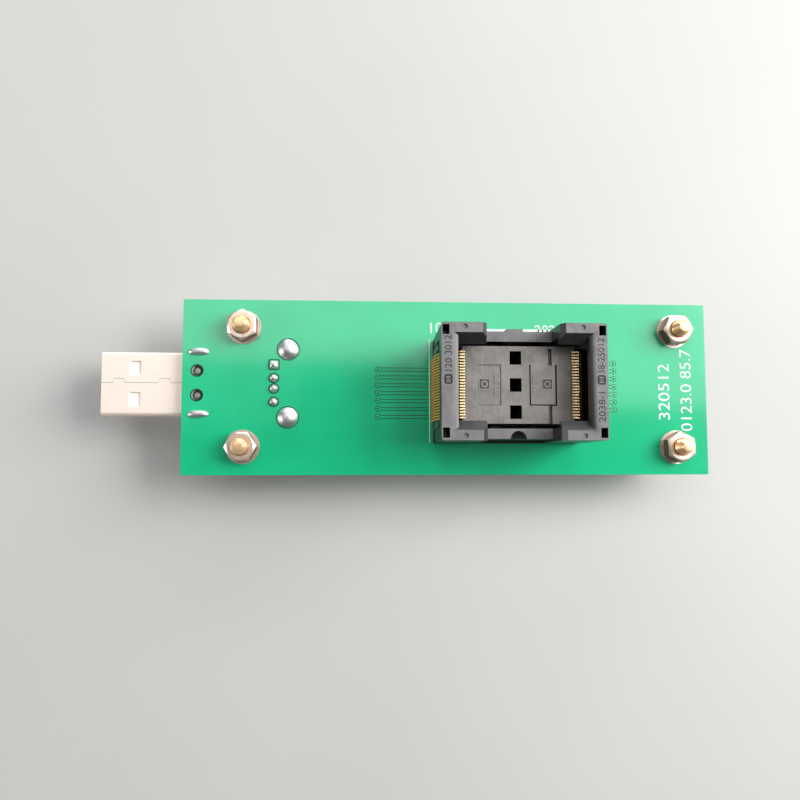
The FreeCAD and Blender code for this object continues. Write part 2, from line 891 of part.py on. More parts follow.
def make_receptacle_contacts():
    """Each contact lies on the tongue, runs back through the block and up through the board."""
    face = "-receptacle_height / 2 + receptacle_tongue_thickness / 2"
    strips = []
    for k, line in enumerate(USB_LINES, 1):
        across = (f"{line} - usb_contact_width / 2", f"{line} + usb_contact_width / 2")
        strip = span_box(
            f"receptacle_strip_{k}",
            ("-usb_contact_sheet / 2", "receptacle_contact_end"),
            across,
            (f"{face} - usb_contact_bite", f"{face} - usb_contact_bite + usb_contact_sheet"),
        )
        pin = span_box(
            f"receptacle_pin_{k}",
            ("-usb_contact_sheet / 2", "usb_contact_sheet / 2"),
            (f"{line} - usb_pin_width / 2", f"{line} + usb_pin_width / 2"),
            (f"{face} - usb_contact_bite", "board_thickness + usb_pin_above"),
        )
        strips.append(fuse(f"receptacle_contact_{k}", [strip, pin]))
    subpart("usb_receptacle_contacts", place_receptacle(group("usb_receptacle_contacts", strips)))


# ---------------------------------------------------------------- solder
def make_solder():
    kinds = [
        (receptacle_pin_middles(), ("pin_solder", "pin_solder", "pin_solder_height")),
        (receptacle_tab_middles(), ("tab_solder", "tab_solder", "tab_solder_height")),
        (tab_middles(), ("slot_solder_length", "slot_solder_width", "slot_solder_height")),
    ]
    joints = [
        dome(f"{name}_solder", *size, middle, BOARD_TOP)
        for middles, size in kinds
        for name, middle in middles
    ]
    subpart("connector_solder", group("connector_solder", joints))
    bead = ("tail_solder", "tail_solder", "tail_solder_height")
    beads = [dome(f"{name}_solder", *bead, middle, UNDERSIDE, up=False) for name, middle in tail_middles()]
    subpart("socket_solder", group("socket_solder", beads))


# ---------------------------------------------------------------- test socket
def place_socket(thing):
    return move(thing, "socket_x", "socket_y", BOARD_TOP)


def four_corners():
    for sign_x in (-1, 1):
        for sign_y in (-1, 1):
            yield f"{sign_x + 1}{sign_y + 1}", sign_x, sign_y


def nest_holes(tag, bottom, top):
    """Three square holes down the middle of the nest and of the pedestal under it."""
    side = ("nest_hole_length", "nest_hole_width", f"{top} - ({bottom})")
    return [
        box(f"{tag}_hole_{k + 2}", side, ("nest_hole_x", f"{k} * nest_hole_pitch"), bottom)
        for k in (-1, 0, 1)
    ]


def make_socket_base():
    """Flange on the board, pedestal for the nest, cheeks beside the contacts, posts and hooks."""
    footprint = rectangle("socket_length", "socket_width")
    flange = rounded_bar("base_flange", "XY_Plane", footprint, "flange_height", "cover_corner")
    block = ("nest_length", "pedestal_width", "nest_bottom - flange_height")
    pedestal = box("base_pedestal", block, bottom="flange_height")
    solids = [flange, pedestal]
    sockets = nest_holes("pedestal", "flange_height", "nest_bottom")
    for tag, sign_x, sign_y in four_corners():
        across = mirrored_span(sign_y, "cheek_inner", "cheek_outer")
        outer_x = mirrored_span(sign_x, "nest_length / 2", "socket_length / 2 - cheek_setback")
        inner_x = mirrored_span(sign_x, "nest_length / 2", "cheek_step_x")
        solids += [
            span_box(f"cheek_{tag}", outer_x, across, ("flange_height", "cheek_step")),
            span_box(f"cheek_tip_{tag}", inner_x, across, ("cheek_step", "cheek_top")),
            box(
                f"corner_post_{tag}",
                ("post_length", "post_width", "post_top - flange_height"),
                (f"{sign_x} * post_x", f"{sign_y} * post_y"),
                "flange_height",
            ),
        ]
        hook_x = (f"{sign_x} * hook_x - hook_width / 2", f"{sign_x} * hook_x + hook_width / 2")
        solids += [
            span_box(
                f"hook_stem_{tag}",
                hook_x,
                mirrored_span(sign_y, "hook_inner", "cheek_outer"),
                ("flange_height", "hook_top"),
            ),
            span_box(
                f"hook_barb_{tag}",
                hook_x,
                mirrored_span(sign_y, "cheek_outer", "cheek_outer + hook_reach"),
                ("hook_bottom", "hook_top"),
            ),
        ]
        sockets.append(
            cylinder(
                f"spring_seat_{tag}",
                "spring_pocket",
                f"flange_height - spring_seat + {CUT_PAST}",
                (f"{sign_x} * spring_x", f"{sign_y} * spring_y"),
                "spring_seat",
            )
        )
    for side, sign in BOTH_SIDES.items():
        solids.append(end_screen(side, sign))
        outward = mirrored_span(sign, "screen_outer", f"socket_length / 2 + {CUT_PAST}")
        along = ("-cheek_inner", "cheek_inner")
        height = (f"-{CUT_PAST}", f"flange_height + {CUT_PAST}")
        sockets.append(span_box(f"{side}_end_recess", outward, along, height))
    base = cut("socket_base", fuse("base_moulding", solids), sockets)
    subpart("socket_base", place_socket(base))


def end_screen(side, sign):
    """The thin wall between the contacts' swinging arms and their outer legs, leaning with the legs."""
    profile = [
        ("screen_inner", "flange_height - foot_bottom"),
        ("screen_outer", "flange_height - foot_bottom"),
        ("screen_outer", "stem_bend"),
        ("screen_top_outer", "screen_top"),
        ("screen_top_inner", "screen_top"),
        ("screen_inner", "screen_bend"),
    ]
    corners = [(f"{sign} * ({x})", z) for x, z in profile]
    return straight_bar(f"{side}_end_screen", "XZ_Plane", corners, "2 * cheek_inner")


def cover_cavity():
    """The space inside the cover: its two profiles, seen from the side and from the end, crossed."""
    past = f"socket_length / 2 + {CUT_PAST}"
    above = f"socket_height + {CUT_PAST}"
    below = f"cover_bottom - {CUT_PAST}"
    half = "opening_length / 2"
    lip = f"{half} - lip_reach"
    skirt = "socket_length / 2 - skirt_thickness"
    right_half = [
        (past, below),
        (past, "skirt_bottom"),
        (skirt, "skirt_bottom"),
        (skirt, "lip_bottom"),
        (lip, "lip_bottom"),
        (lip, "lip_shoulder"),
        (half, "socket_height"),
        (half, above),
    ]
    left_half = [(f"-({x})", z) for x, z in reversed(right_half)]
    from_side = straight_bar("cavity_from_side", "XZ_Plane", right_half + left_half, "socket_width")
    near = [
        ("rail_inner", below),
        ("rail_inner", "guide_bottom"),
        ("guide_inner", "guide_bottom"),
        ("guide_inner", "guide_bottom + guide_land"),
        ("opening_width / 2", "socket_height"),
        ("opening_width / 2", above),
    ]
    far = [(f"-({y})", z) for y, z in reversed(near)]
    from_end = straight_bar("cavity_from_end", "YZ_Plane", near + far, f"2 * ({past})")
    return common("cover_cavity", [from_side, from_end])


def side_notch():
    """The long sides' finger notch, down to the rails, through both sides."""
    brim = "notch_half + notch_chamfer"
    right_half = [
        ("notch_half - notch_taper", "rail_top"),
        ("notch_half", "socket_height - notch_chamfer"),
        (brim, "socket_height"),
        (brim, f"socket_height + {CUT_PAST}"),
    ]
    left_half = [(f"-({x})", z) for x, z in reversed(right_half)]
    return straight_bar("side_notch", "XZ_Plane", right_half + left_half, f"socket_width + 2 * {CUT_PAST}")


def make_socket_cover():
    """The frame that is pushed down to open the contacts."""
    blank = rounded_bar(
        "cover_blank",
        "XY_Plane",
        rectangle("socket_length", "socket_width"),
        "socket_height - cover_bottom",
        "cover_corner",
    )
    move(blank, z="cover_bottom")
    front, rear = "-socket_width / 2", "socket_width / 2"
    notch_start, notch_end = "notch_taper - notch_half", "notch_half - notch_taper"
    tab_start, tab_end = "rail_tab_x - rail_tab_length / 2", "rail_tab_x + rail_tab_length / 2"
    below = f"cover_bottom - {CUT_PAST}"
    front_face = (f"{front} - {CUT_PAST}", f"{front} + rail_inset")
    rear_face = (f"{rear} - rail_inset", f"{rear} + {CUT_PAST}")
    insets = {
        "front_rail_inset": ((notch_start, notch_end), front_face),
        "rear_rail_inset_left": ((notch_start, tab_start), rear_face),
        "rear_rail_inset_right": ((tab_end, notch_end), rear_face),
    }
    thumb_middle = ("0", f"{front} + rail_inset")
    tools = [
        cover_cavity(),
        side_notch(),
        cylinder("thumb_notch", "2 * thumb_radius", "socket_height", thumb_middle, "thumb_floor"),
        *(span_box(name, x, y, (below, "socket_height")) for name, (x, y) in insets.items()),
    ]
    catch_end = "cheek_outer + hook_reach + catch_play / 2"
    for tag, sign_x, sign_y in four_corners():
        tools += [
            box(
                f"corner_hole_{tag}",
                ("corner_hole_length", "corner_hole_width", "socket_height"),
                (f"{sign_x} * post_x", f"{sign_y} * post_y"),
                below,
            ),
            cylinder(
                f"spring_hole_{tag}",
                "spring_pocket",
                f"spring_roof - cover_bottom + {CUT_PAST}",
                (f"{sign_x} * spring_x", f"{sign_y} * spring_y"),
                below,
            ),
            span_box(
                f"hook_catch_{tag}",
                (
                    f"{sign_x} * hook_x - hook_width / 2 - catch_play",
                    f"{sign_x} * hook_x + hook_width / 2 + catch_play",
                ),
                mirrored_span(sign_y, "rail_inner - catch_behind", catch_end),
                ("catch_bottom", "catch_top"),
            ),
        ]
    subpart("socket_cover", place_socket(cut("socket_cover", blank, tools)))


def make_chip_nest():
    """The floor under the chip, with three square holes and two panels set off by grooves."""
    slab = ("nest_length", "nest_width", "nest_top - nest_bottom")
    plate = box("nest_plate", slab, bottom="nest_bottom")
    depth = ("nest_top - groove_depth", f"nest_top + {CUT_PAST}")
    half_groove = "groove_width / 2"
    panel = ("-panel_half_width", "panel_half_width")
    tools = nest_holes("nest", f"nest_bottom - {CUT_PAST}", f"nest_top + {CUT_PAST}")
    tools.append(
        span_box(
            "left_panel",
            ("left_panel_x - left_panel_length / 2", "left_panel_x + left_panel_length / 2"),
            panel,
            ("nest_top - panel_sink", f"nest_top + {CUT_PAST}"),
        )
    )
    right_end = "right_panel_x + right_panel_length / 2"
    left_end = "right_panel_x - right_panel_length / 2"
    for name, x in (("right_panel_left", left_end), ("right_panel_right", right_end)):
        tools.append(span_box(name, (f"{x} - {half_groove}", f"{x} + {half_groove}"), panel, depth))
    front = "-panel_half_width"
    front_groove = (f"{front} - {half_groove}", f"{front} + {half_groove}")
    tools.append(span_box("right_panel_front", (left_end, right_end), front_groove, depth))
    half_channel = "channel_width / 2"
    channels = {
        "rear_channel": ("upper_channel_x", ("panel_half_width", "upper_channel_end")),
        "front_channel": ("lower_channel_x", (f"-nest_width / 2 - {CUT_PAST}", "-panel_half_width")),
    }
    for name, (x, y) in channels.items():
        tools.append(span_box(name, (f"{x} - {half_channel}", f"{x} + {half_channel}"), y, depth))
    subpart("chip_nest", place_socket(cut("chip_nest", plate, tools)))


def contact_body(name, profile, sign):
    """A row of stamped contacts from one outline, given for the right-hand side of the socket."""
    body = doc.addObject("PartDesign::Body", name)
    body.AllowCompound = True
    corners = [(f"{sign} * ({x})", z) for x, z in profile]
    sketch = outline(body, f"{name}_outline", "XZ_Plane", corners)
    stamped = pad(body, sketch, "contact_thickness", both_ways=True)
    repeat(body, stamped, "Y_Axis", "contact_pitch", "contact_count")
    return body


def place_contacts(body):
    return move(body, "socket_x", "socket_y - contact_pitch * (contact_count - 1) / 2", BOARD_TOP)


def make_contact_stems(side, sign):
    """The fixed half of each contact: foot in the base, outer leg, and the root of the arm."""
    root_top = "pivot_z - stem_gap - arm_half"
    profile = [
        ("foot_inner", "foot_bottom"),
        ("stem_outer - stem_leg", "foot_bottom"),
        ("stem_outer - stem_leg", "stem_bottom"),
        ("stem_outer", "stem_bottom"),
        ("stem_outer", "stem_bend"),
        ("stem_top_outer", "stem_top"),
        ("stem_top_outer - stem_leg", "stem_top"),
        ("stem_outer - stem_leg", "stem_bend"),
        ("stem_outer - stem_leg", "foot_top"),
        ("pivot_x + arm_half", "foot_top"),
        ("pivot_x + arm_half", root_top),
        ("pivot_x - arm_half", root_top),
        ("pivot_x - arm_half", "foot_top"),
        ("foot_inner", "foot_top"),
    ]
    node = f"contact_stems_{side}"
    body = contact_body(node, profile, sign)
    for row, first in (("outer_tail_x", "0"), ("inner_tail_x", "contact_pitch")):
        tail = [
            (f"{sign} * ({row} - tail_width / 2)", "-board_thickness - tail_below_board"),
            (f"{sign} * ({row} + tail_width / 2)", "-board_thickness - tail_below_board"),
            (f"{sign} * ({row} + tail_width / 2)", "foot_bottom + tail_width"),
            (f"{sign} * ({row} - tail_width / 2)", "foot_bottom + tail_width"),
        ]
        sketch = outline(body, f"{node}_{row}", "XZ_Plane", tail)
        # The sketch's own z axis points along -Y, so a tail further along +Y has a negative offset.
        bind(sketch, ".AttachmentOffset.Base.z", f"-({first})")
        stamped = pad(body, sketch, "contact_thickness", both_ways=True)
        repeat(body, stamped, "Y_Axis", "2 * contact_pitch", "contact_count / 2")
    subpart(node, place_contacts(body))


def make_contact_arms(side, sign):
    """The half of each contact that swings: up from the pivot and over to the chip's lead."""
    rest = "nest_top + tip_gap"
    crown = f"{rest} + tip_height"
    profile = [
        ("pivot_x + arm_half", "pivot_z - arm_half"),
        ("pivot_x + arm_half", "elbow_z"),
        ("tip_root", f"{crown} - tip_rounding"),
        ("tip_flat", crown),
        ("tip_end + tip_rounding", f"{crown} - tip_rounding"),
        ("tip_end", f"{rest} + tip_rounding"),
        ("tip_end + tip_rounding", rest),
        ("tip_flat", rest),
        ("tip_root", f"{rest} - tip_root_drop"),
        ("pivot_x - elbow_inset", "elbow_z - elbow_drop"),
        ("pivot_x - arm_half", "elbow_z - elbow_reach"),
        ("pivot_x - arm_half", "pivot_z - arm_half"),
    ]
    node = f"contact_arms_{side}"
    subpart(node, place_contacts(contact_body(node, profile, sign)))


def make_cover_springs():
    """Four compression springs that lift the cover."""
    play = "spring_wire / 2 + spring_play"
    rise = f"(spring_roof - spring_seat - 2 * ({play}))"
    coils = []
    for tag, sign_x, sign_y in four_corners():
        helix = doc.addObject("Part::Helix", f"spring_line_{tag}")
        bind(helix, "Radius", "spring_radius")
        bind(helix, "Height", rise)
        bind(helix, "Pitch", f"{rise} / spring_turns")
        wire = doc.addObject("Part::Circle", f"spring_wire_{tag}")
        bind(wire, "Radius", "spring_wire / 2")
        bind(wire, ".Placement.Base.x", "spring_radius")
        wire.Placement.Rotation = FreeCAD.Rotation(FreeCAD.Vector(1, 0, 0), 90)
        coil = doc.addObject("Part::Sweep", f"spring_{tag}")
        coil.Sections = [wire]
        coil.Spine = (helix, ["Edge1"])
        coil.Solid = True
        coil.Frenet = True
        move(coil, f"{sign_x} * spring_x", f"{sign_y} * spring_y", f"spring_seat + {play}")
        coils.append(coil)
    subpart("cover_springs", place_socket(group("cover_springs", coils)))


# ---------------------------------------------------------------- electronics, under the board
def make_controller():
    top = f"{UNDERSIDE} - controller_lift"
    package = box(
        "controller_package",
        ("controller_side", "controller_side", "controller_height"),
        CONTROLLER_PLACE,
        f"{top} - controller_height",
    )
    subpart("controller_package", package)
    body = doc.addObject("PartDesign::Body", "controller_leads")
    body.AllowCompound = True
    edge = "controller_side / 2"
    middle = "-controller_lift - controller_height / 2"
    knee = f"{edge} + lead_reach / 2"
    toe = f"{edge} + lead_reach"
    gull_wing = [
        (edge, middle),
        (knee, middle),
        (knee, "-lead_sheet"),
        (toe, "-lead_sheet"),
        (toe, "0"),
        (f"{knee} - lead_sheet", "0"),
        (f"{knee} - lead_sheet", f"{middle} + lead_sheet"),
        (edge, f"{middle} + lead_sheet"),
    ]
    sketch = outline(body, "lead_outline", "XZ_Plane", gull_wing)
    bind(sketch, ".AttachmentOffset.Base.z", "lead_pitch * (leads_a_side - 1) / 2")
    lead = pad(body, sketch, "lead_width", both_ways=True)
    side = body.newObject("PartDesign::LinearPattern", "leads_on_a_side")
    side.Direction = (origin_feature(body, "Y_Axis"), [""])
    bind(side, "Length", "lead_pitch * (leads_a_side - 1)")
    bind(side, "Occurrences", "leads_a_side")
    round_sides = body.newObject("PartDesign::PolarPattern", "four_sides")
    round_sides.Axis = (origin_feature(body, "Z_Axis"), [""])
    round_sides.Angle = 360
    round_sides.Occurrences = 4
    every_lead = body.newObject("PartDesign::MultiTransform", "every_lead")
    every_lead.Originals = [lead]
    every_lead.Transformations = [side, round_sides]
    body.Tip = every_lead
    move(body, *CONTROLLER_PLACE, UNDERSIDE)
    subpart("controller_leads", body)


def make_crystal():
    base_bottom = f"{UNDERSIDE} - crystal_base_height"
    plate = ("crystal_length", "crystal_width", "crystal_base_height")
    base = box("crystal_base", plate, CRYSTAL_PLACE, base_bottom)
    lid = box(
        "crystal_lid",
        ("crystal_length - 2 * crystal_rim", "crystal_width - 2 * crystal_rim", "crystal_lid_height"),
        CRYSTAL_PLACE,
        f"{base_bottom} - crystal_lid_height",
    )
    subpart("crystal_base", base)
    subpart("crystal_lid", lid)


def make_regulator():
    x, y = REGULATOR_PLACE
    package = box(
        "regulator_package",
        ("regulator_length", "regulator_width", "regulator_height"),
        REGULATOR_PLACE,
        f"{UNDERSIDE} - regulator_lift - regulator_height",
    )
    subpart("regulator_package", package)
    feet = {"output_lead": (0, 1), "ground_lead": (-1, -1), "input_lead": (1, -1)}
    leads = []
    for name, (along, side) in feet.items():
        low, high = mirrored_span(side, "regulator_width / 2", "regulator_width / 2 + regulator_lead_reach")
        middle = f"{x} + {along} * regulator_lead_pitch"
        leads.append(
            span_box(
                name,
                (f"{middle} - regulator_lead_width / 2", f"{middle} + regulator_lead_width / 2"),
                (f"{y} + {low}", f"{y} + {high}"),
                (f"{UNDERSIDE} - regulator_height / 2", UNDERSIDE),
            )
        )
    subpart("regulator_leads", group("regulator_leads", leads))


def chip_parts(kind, places, height):
    """Bodies and end caps of two-terminal parts; each is turned about its own middle."""
    bodies, caps = [], []
    length, width = ("chip_part_length", "chip_part_width")
    end = f"({length} + chip_end) / 2"
    for k, (x, y, angle) in enumerate(places, 1):
        bottom = f"{UNDERSIDE} - {height}"
        along, across = (length, width) if angle == 0 else (width, length)
        bodies.append(box(f"{kind}_body_{k}", (along, across, height), (f"{x}", f"{y}"), bottom))
        for sign in (-1, 1):
            cap_size = ("chip_end", width, height) if angle == 0 else (width, "chip_end", height)
            shift_x, shift_y = (f"{sign} * {end}", "0") if angle == 0 else ("0", f"{sign} * {end}")
            middle = (f"{x} + {shift_x}", f"{y} + {shift_y}")
            caps.append(box(f"{kind}_cap_{k}_{sign + 1}", cap_size, middle, bottom))
    return bodies, caps


def make_chip_parts():
    bodies, caps = chip_parts("capacitor", CAPACITOR_PLACES, "capacitor_height")
    subpart("capacitor_bodies", group("capacitor_bodies", bodies))
    resistors, resistor_caps = chip_parts("resistor", RESISTOR_PLACES, "resistor_height")
    subpart("resistor_bodies", group("resistor_bodies", resistors))
    led, led_caps = chip_parts("led", [LED_PLACE], "led_height")
    subpart("led_body", group("led_body", led))
    subpart("chip_end_caps", group("chip_end_caps", caps + resistor_caps + led_caps))
    lens = box(
        "led_lens",
        ("chip_part_length", "chip_part_width", "led_lens_height"),
        (f"{LED_PLACE[0]}", f"{LED_PLACE[1]}"),
        f"{UNDERSIDE} - led_height - led_lens_height",
    )
    subpart("led_lens", lens)


# ---------------------------------------------------------------- build, check and write
def check_document():
    failed = [thing.Name for thing in doc.Objects if {"Invalid", "Error"} & set(thing.State)]
    if failed:
        raise RuntimeError(f"these objects failed to build: {failed}")
    for node, thing in subparts.items():
        if thing.Shape.isNull() or not thing.Shape.isValid():
            raise RuntimeError(f"{node} has no valid shape")


def write_parts():
    os.makedirs("parts", exist_ok=True)
    for node, thing in subparts.items():
        thing.Shape.exportStep(f"parts/{node}.step")
        shape = thing.Shape
        print(f"{node}: {len(shape.Solids)} solids, {shape.Volume:.2f} mm3")


fill_sheet()
make_board()
make_standoffs()
make_nuts()
make_plug_shell()
make_plug_insulator()
make_plug_contacts()
make_receptacle_shell()
make_receptacle_insulator()
make_receptacle_contacts()
make_solder()
make_socket_base()
make_socket_cover()
make_chip_nest()
for side_name, side_sign in BOTH_SIDES.items():
    make_contact_stems(side_name, side_sign)
    make_contact_arms(side_name, side_sign)
make_cover_springs()
make_controller()
make_crystal()
make_regulator()
make_chip_parts()
doc.recompute()
check_document()
write_parts()
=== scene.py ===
import json
import math
import random

import bmesh
import bpy
from mathutils import Matrix, Vector


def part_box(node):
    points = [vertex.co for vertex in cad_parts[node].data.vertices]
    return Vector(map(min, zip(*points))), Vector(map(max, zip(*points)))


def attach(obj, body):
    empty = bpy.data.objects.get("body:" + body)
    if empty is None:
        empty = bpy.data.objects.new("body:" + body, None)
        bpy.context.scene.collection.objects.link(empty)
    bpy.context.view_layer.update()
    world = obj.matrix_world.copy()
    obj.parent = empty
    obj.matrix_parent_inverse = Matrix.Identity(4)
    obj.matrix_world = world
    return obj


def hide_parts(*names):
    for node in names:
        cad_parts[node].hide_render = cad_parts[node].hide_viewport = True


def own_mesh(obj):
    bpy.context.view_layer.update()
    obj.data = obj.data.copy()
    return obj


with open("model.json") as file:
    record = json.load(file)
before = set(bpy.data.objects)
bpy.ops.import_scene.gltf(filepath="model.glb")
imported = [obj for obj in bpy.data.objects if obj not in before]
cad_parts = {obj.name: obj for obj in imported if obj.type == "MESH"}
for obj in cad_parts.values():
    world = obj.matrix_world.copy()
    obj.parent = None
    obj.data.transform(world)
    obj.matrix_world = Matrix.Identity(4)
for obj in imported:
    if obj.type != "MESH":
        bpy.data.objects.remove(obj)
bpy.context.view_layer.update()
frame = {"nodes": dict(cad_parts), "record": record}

# Lengths are millimetres in the CAD's frame unless a name says otherwise; MM turns them into metres.
MM = 0.001


# ---------------------------------------------------------------- places read from the CAD
def node_box(node):
    low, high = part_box(node)
    return low / MM, high / MM


BOARD_LOW, BOARD_HIGH = node_box("circuit_board")
TOP = BOARD_HIGH.z
UNDER = BOARD_LOW.z
SOCKET_LOW, SOCKET_HIGH = node_box("socket_cover")
SOCKET = (SOCKET_LOW + SOCKET_HIGH) / 2
NEST_LOW, NEST_HIGH = node_box("chip_nest")
TIP_HEIGHT = node_box("contact_arms_left")[1].z - NEST_HIGH.z
PLUG_LOW, PLUG_HIGH = node_box("usb_plug_shell")
PLUG_Y = (PLUG_LOW.y + PLUG_HIGH.y) / 2
FEET = next(m["dims"] for m in frame["record"]["mounts"] if m["name"] == "feet")
STUD_X = FEET["spacing_x_mm"] / 2
STUD_Y = FEET["spacing_y_mm"] / 2
STUDS = [(sx * STUD_X, sy * STUD_Y) for sx in (-1, 1) for sy in (-1, 1)]
USB_LINES = (3.5, 1.0, -1.0, -3.5)
PIN_X = node_box("usb_receptacle_contacts")[0].x + 0.1
RECEPTACLE_Y = 0.68
TAB_X = PIN_X + 2.61
TAB_Y = 6.42
PEG_X = PLUG_LOW.x + 18.1
PEG_Y = 2.3
VIAS = {-1: [(-16.1, -1.08 + 1.5 * k) for k in range(-3, 4)], 1: [(29.24, 0.35 + 1.5 * k) for k in range(-3, 4)]}


# ---------------------------------------------------------------- node graphs
class Graph:
    """The nodes of one material. An argument is a plain value or another node's output."""

    def __init__(self, name, **sockets):
        self.material = bpy.data.materials.new(name)
        self.material.use_nodes = True
        self.tree = self.material.node_tree
        self.shader = next(n for n in self.tree.nodes if n.type == "BSDF_PRINCIPLED")
        for socket, value in sockets.items():
            self.shader.inputs[socket.replace("_", " ")].default_value = value
        self.place = self.add("TexCoord").outputs["Object"]

    def add(self, kind, settings=None, **inputs):
        node = self.tree.nodes.new(f"ShaderNode{kind}")
        for key, value in (settings or {}).items():
            setattr(node, key, value)
        for key, value in inputs.items():
            socket = node.inputs[int(key[1:])] if key[1:].isdigit() else node.inputs[key.replace("_", " ")]
            if isinstance(value, bpy.types.NodeSocket):
                self.tree.links.new(value, socket)
            else:
                socket.default_value = value
        return node

    def math(self, operation, first, second=0.0, third=0.0):
        return self.add("Math", {"operation": operation}, _0=first, _1=second, _2=third).outputs[0]

    def stretch(self, x, y, z, turn=0.0):
        """The place turned about z and scaled along each axis, for streaks."""
        return self.add("Mapping", Vector=self.place, Rotation=(0, 0, turn), Scale=(x, y, z)).outputs[0]

    def noise(self, size, detail=3.0, roughness=0.55, vector=None):
        """Noise whose features are about size millimetres across."""
        return self.add(
            "TexNoise", Vector=vector or self.place, Scale=1 / (size * MM), Detail=detail, Roughness=roughness
        ).outputs["Fac"]

    def cells(self, size):
        return self.add("TexVoronoi", Vector=self.place, Scale=1 / (size * MM)).outputs["Distance"]

    def remap(self, value, low, high, from_low=0.3, from_high=0.7):
        return self.add(
            "MapRange", Value=value, From_Min=from_low, From_Max=from_high, To_Min=low, To_Max=high
        ).outputs[0]

    def blend(self, share, first, second):
        return self.add("Mix", {"data_type": "RGBA"}, _0=share, _6=first, _7=second).outputs[2]

    def axes(self, vector=None):
        return self.add("SeparateXYZ", Vector=vector or self.place).outputs

    def normal(self):
        return self.axes(self.add("NewGeometry").outputs["Normal"])

    def stud_radius(self):
        """Distance in millimetres from the nearest stud's axis."""
        x, y, _ = self.axes()
        across = [
            self.math("SUBTRACT", self.math("ABSOLUTE", axis), pitch * MM) for axis, pitch in ((x, STUD_X), (y, STUD_Y))
        ]
        squares = [self.math("MULTIPLY", a, a) for a in across]
        return self.math("MULTIPLY", self.math("SQRT", self.math("ADD", *squares)), 1 / MM)

    def bump(self, height, depth, strength=1.0, under=None):
        node = self.add("Bump", Strength=strength, Distance=depth * MM, Height=height)
        if under is not None:
            self.tree.links.new(under, node.inputs["Normal"])
        return node.outputs[0]

    def use(self, **links):
        for socket, output in links.items():
            self.tree.links.new(output, self.shader.inputs[socket.replace("_", " ")])
        return self.material


def rgb(red, green, blue):
    return (red, green, blue, 1.0)


def plastic(name, colour, paler, roughness, grain, depth, coat=0.0):
    """Moulded plastic: fine grain, slight mottling, and patches worn smoother."""
    g = Graph(name, Coat_Weight=coat, Coat_Roughness=0.25)
    wear = g.noise(3.5, 4)
    fine = g.noise(grain, 2)
    shade = g.math("MULTIPLY", g.remap(wear, 0.0, 1.0), g.remap(fine, 0.6, 1.0))
    return g.use(
        Base_Color=g.blend(shade, colour, paler),
        Roughness=g.remap(wear, roughness + 0.08, roughness - 0.06),
        Normal=g.bump(fine, depth),
    )


def sheen_topped_plastic(name, shaded_wall, shaded_wall_paler, face, sheen_face_paler, roughness, grain, depth, scratched=0.15):
    """Moulded plastic with fine grain; its level upper faces carry scuffs and scratches and are painted paler as a
    painted sheen, and its walls are smooth and painted dark as painted shade.
    """
    g = Graph(name)
    wear = g.noise(2.5, 4)
    fine = g.noise(grain, 2)
    shade = g.math("MULTIPLY", g.remap(wear, 0.0, 1.0), g.remap(fine, 0.6, 1.0))
    # level is 1 on level upper faces, which take the painted sheen colours, and 0 on walls, which take the painted
    # shade colours.
    level = g.remap(g.normal()[2], 0.0, 1.0, 0.93, 0.99)
    scuffs = g.remap(g.noise(0.5, 3, vector=g.stretch(1, 0.12, 1)), 0.0, 0.25, 0.62, 0.75)
    scratches = g.remap(g.noise(0.3, 2, vector=g.stretch(1, 0.05, 1, 0.5)), 0.0, scratched, 0.6, 0.68)
    scuffs = g.math("ADD", g.math("ADD", scuffs, scratches), g.remap(g.noise(0.35, 4), -0.15, 0.25))
    smooth = g.remap(wear, roughness - 0.12, roughness - 0.04)
    matte = g.remap(wear, roughness + 0.1, roughness + 0.02)
    return g.use(
        # Painted shade on the walls; painted sheen with real scuffs and scratches on level faces.
        Base_Color=g.blend(level, g.blend(shade, shaded_wall, shaded_wall_paler), g.blend(g.math("ADD", shade, scuffs), face, sheen_face_paler)),
        Roughness=g.add("Mix", {"data_type": "FLOAT"}, _0=level, _2=smooth, _3=matte).outputs[0],
        Normal=g.bump(fine, depth),
    )


def metal(name, colour, darker, roughness, streak=(1, 1, 1), grain=0.12, depth=0.004, clean=0.5, metallic=1.0):
    """Plated or bare metal: streaks along one way and dull patches; a satin plating is less metallic."""
    g = Graph(name, Metallic=metallic)
    lines = g.noise(grain, 3, vector=g.stretch(*streak))
    patches = g.noise(1.8, 4)
    dull = g.math("MULTIPLY", g.remap(patches, 0.0, 1.0, clean, 0.75), g.remap(lines, 0.5, 1.0))
    return g.use(
        Base_Color=g.blend(dull, colour, darker),
        Roughness=g.math("ADD", g.remap(lines, roughness - 0.05, roughness + 0.07), g.math("MULTIPLY", dull, 0.12)),
        Normal=g.bump(lines, depth),
    )


def gold_tips_over_shade(name, gold, bare, roughness, gold_from):
    """Spring metal that is gold above one height and painted near-black below it, as painted shade down among the
    contacts.
    """
    g = Graph(name, Metallic=0.7)
    wear = g.noise(0.25, 3)
    height = g.math("ADD", g.axes()[2], g.math("MULTIPLY", wear, 0.06 * MM))
    gold_share = g.remap(height, 0.0, 1.0, (gold_from - 0.08) * MM, (gold_from + 0.06) * MM)
    tip = g.blend(g.remap(wear, 0.0, 0.6), gold, rgb(*(0.8 * c for c in gold[:3])))
    return g.use(
        # The near-black bare colour below the gold is painted shade.
        Base_Color=g.blend(gold_share, bare, tip),
        Roughness=g.remap(wear, roughness - 0.05, roughness + 0.08),
        Normal=g.bump(wear, 0.003),
    )


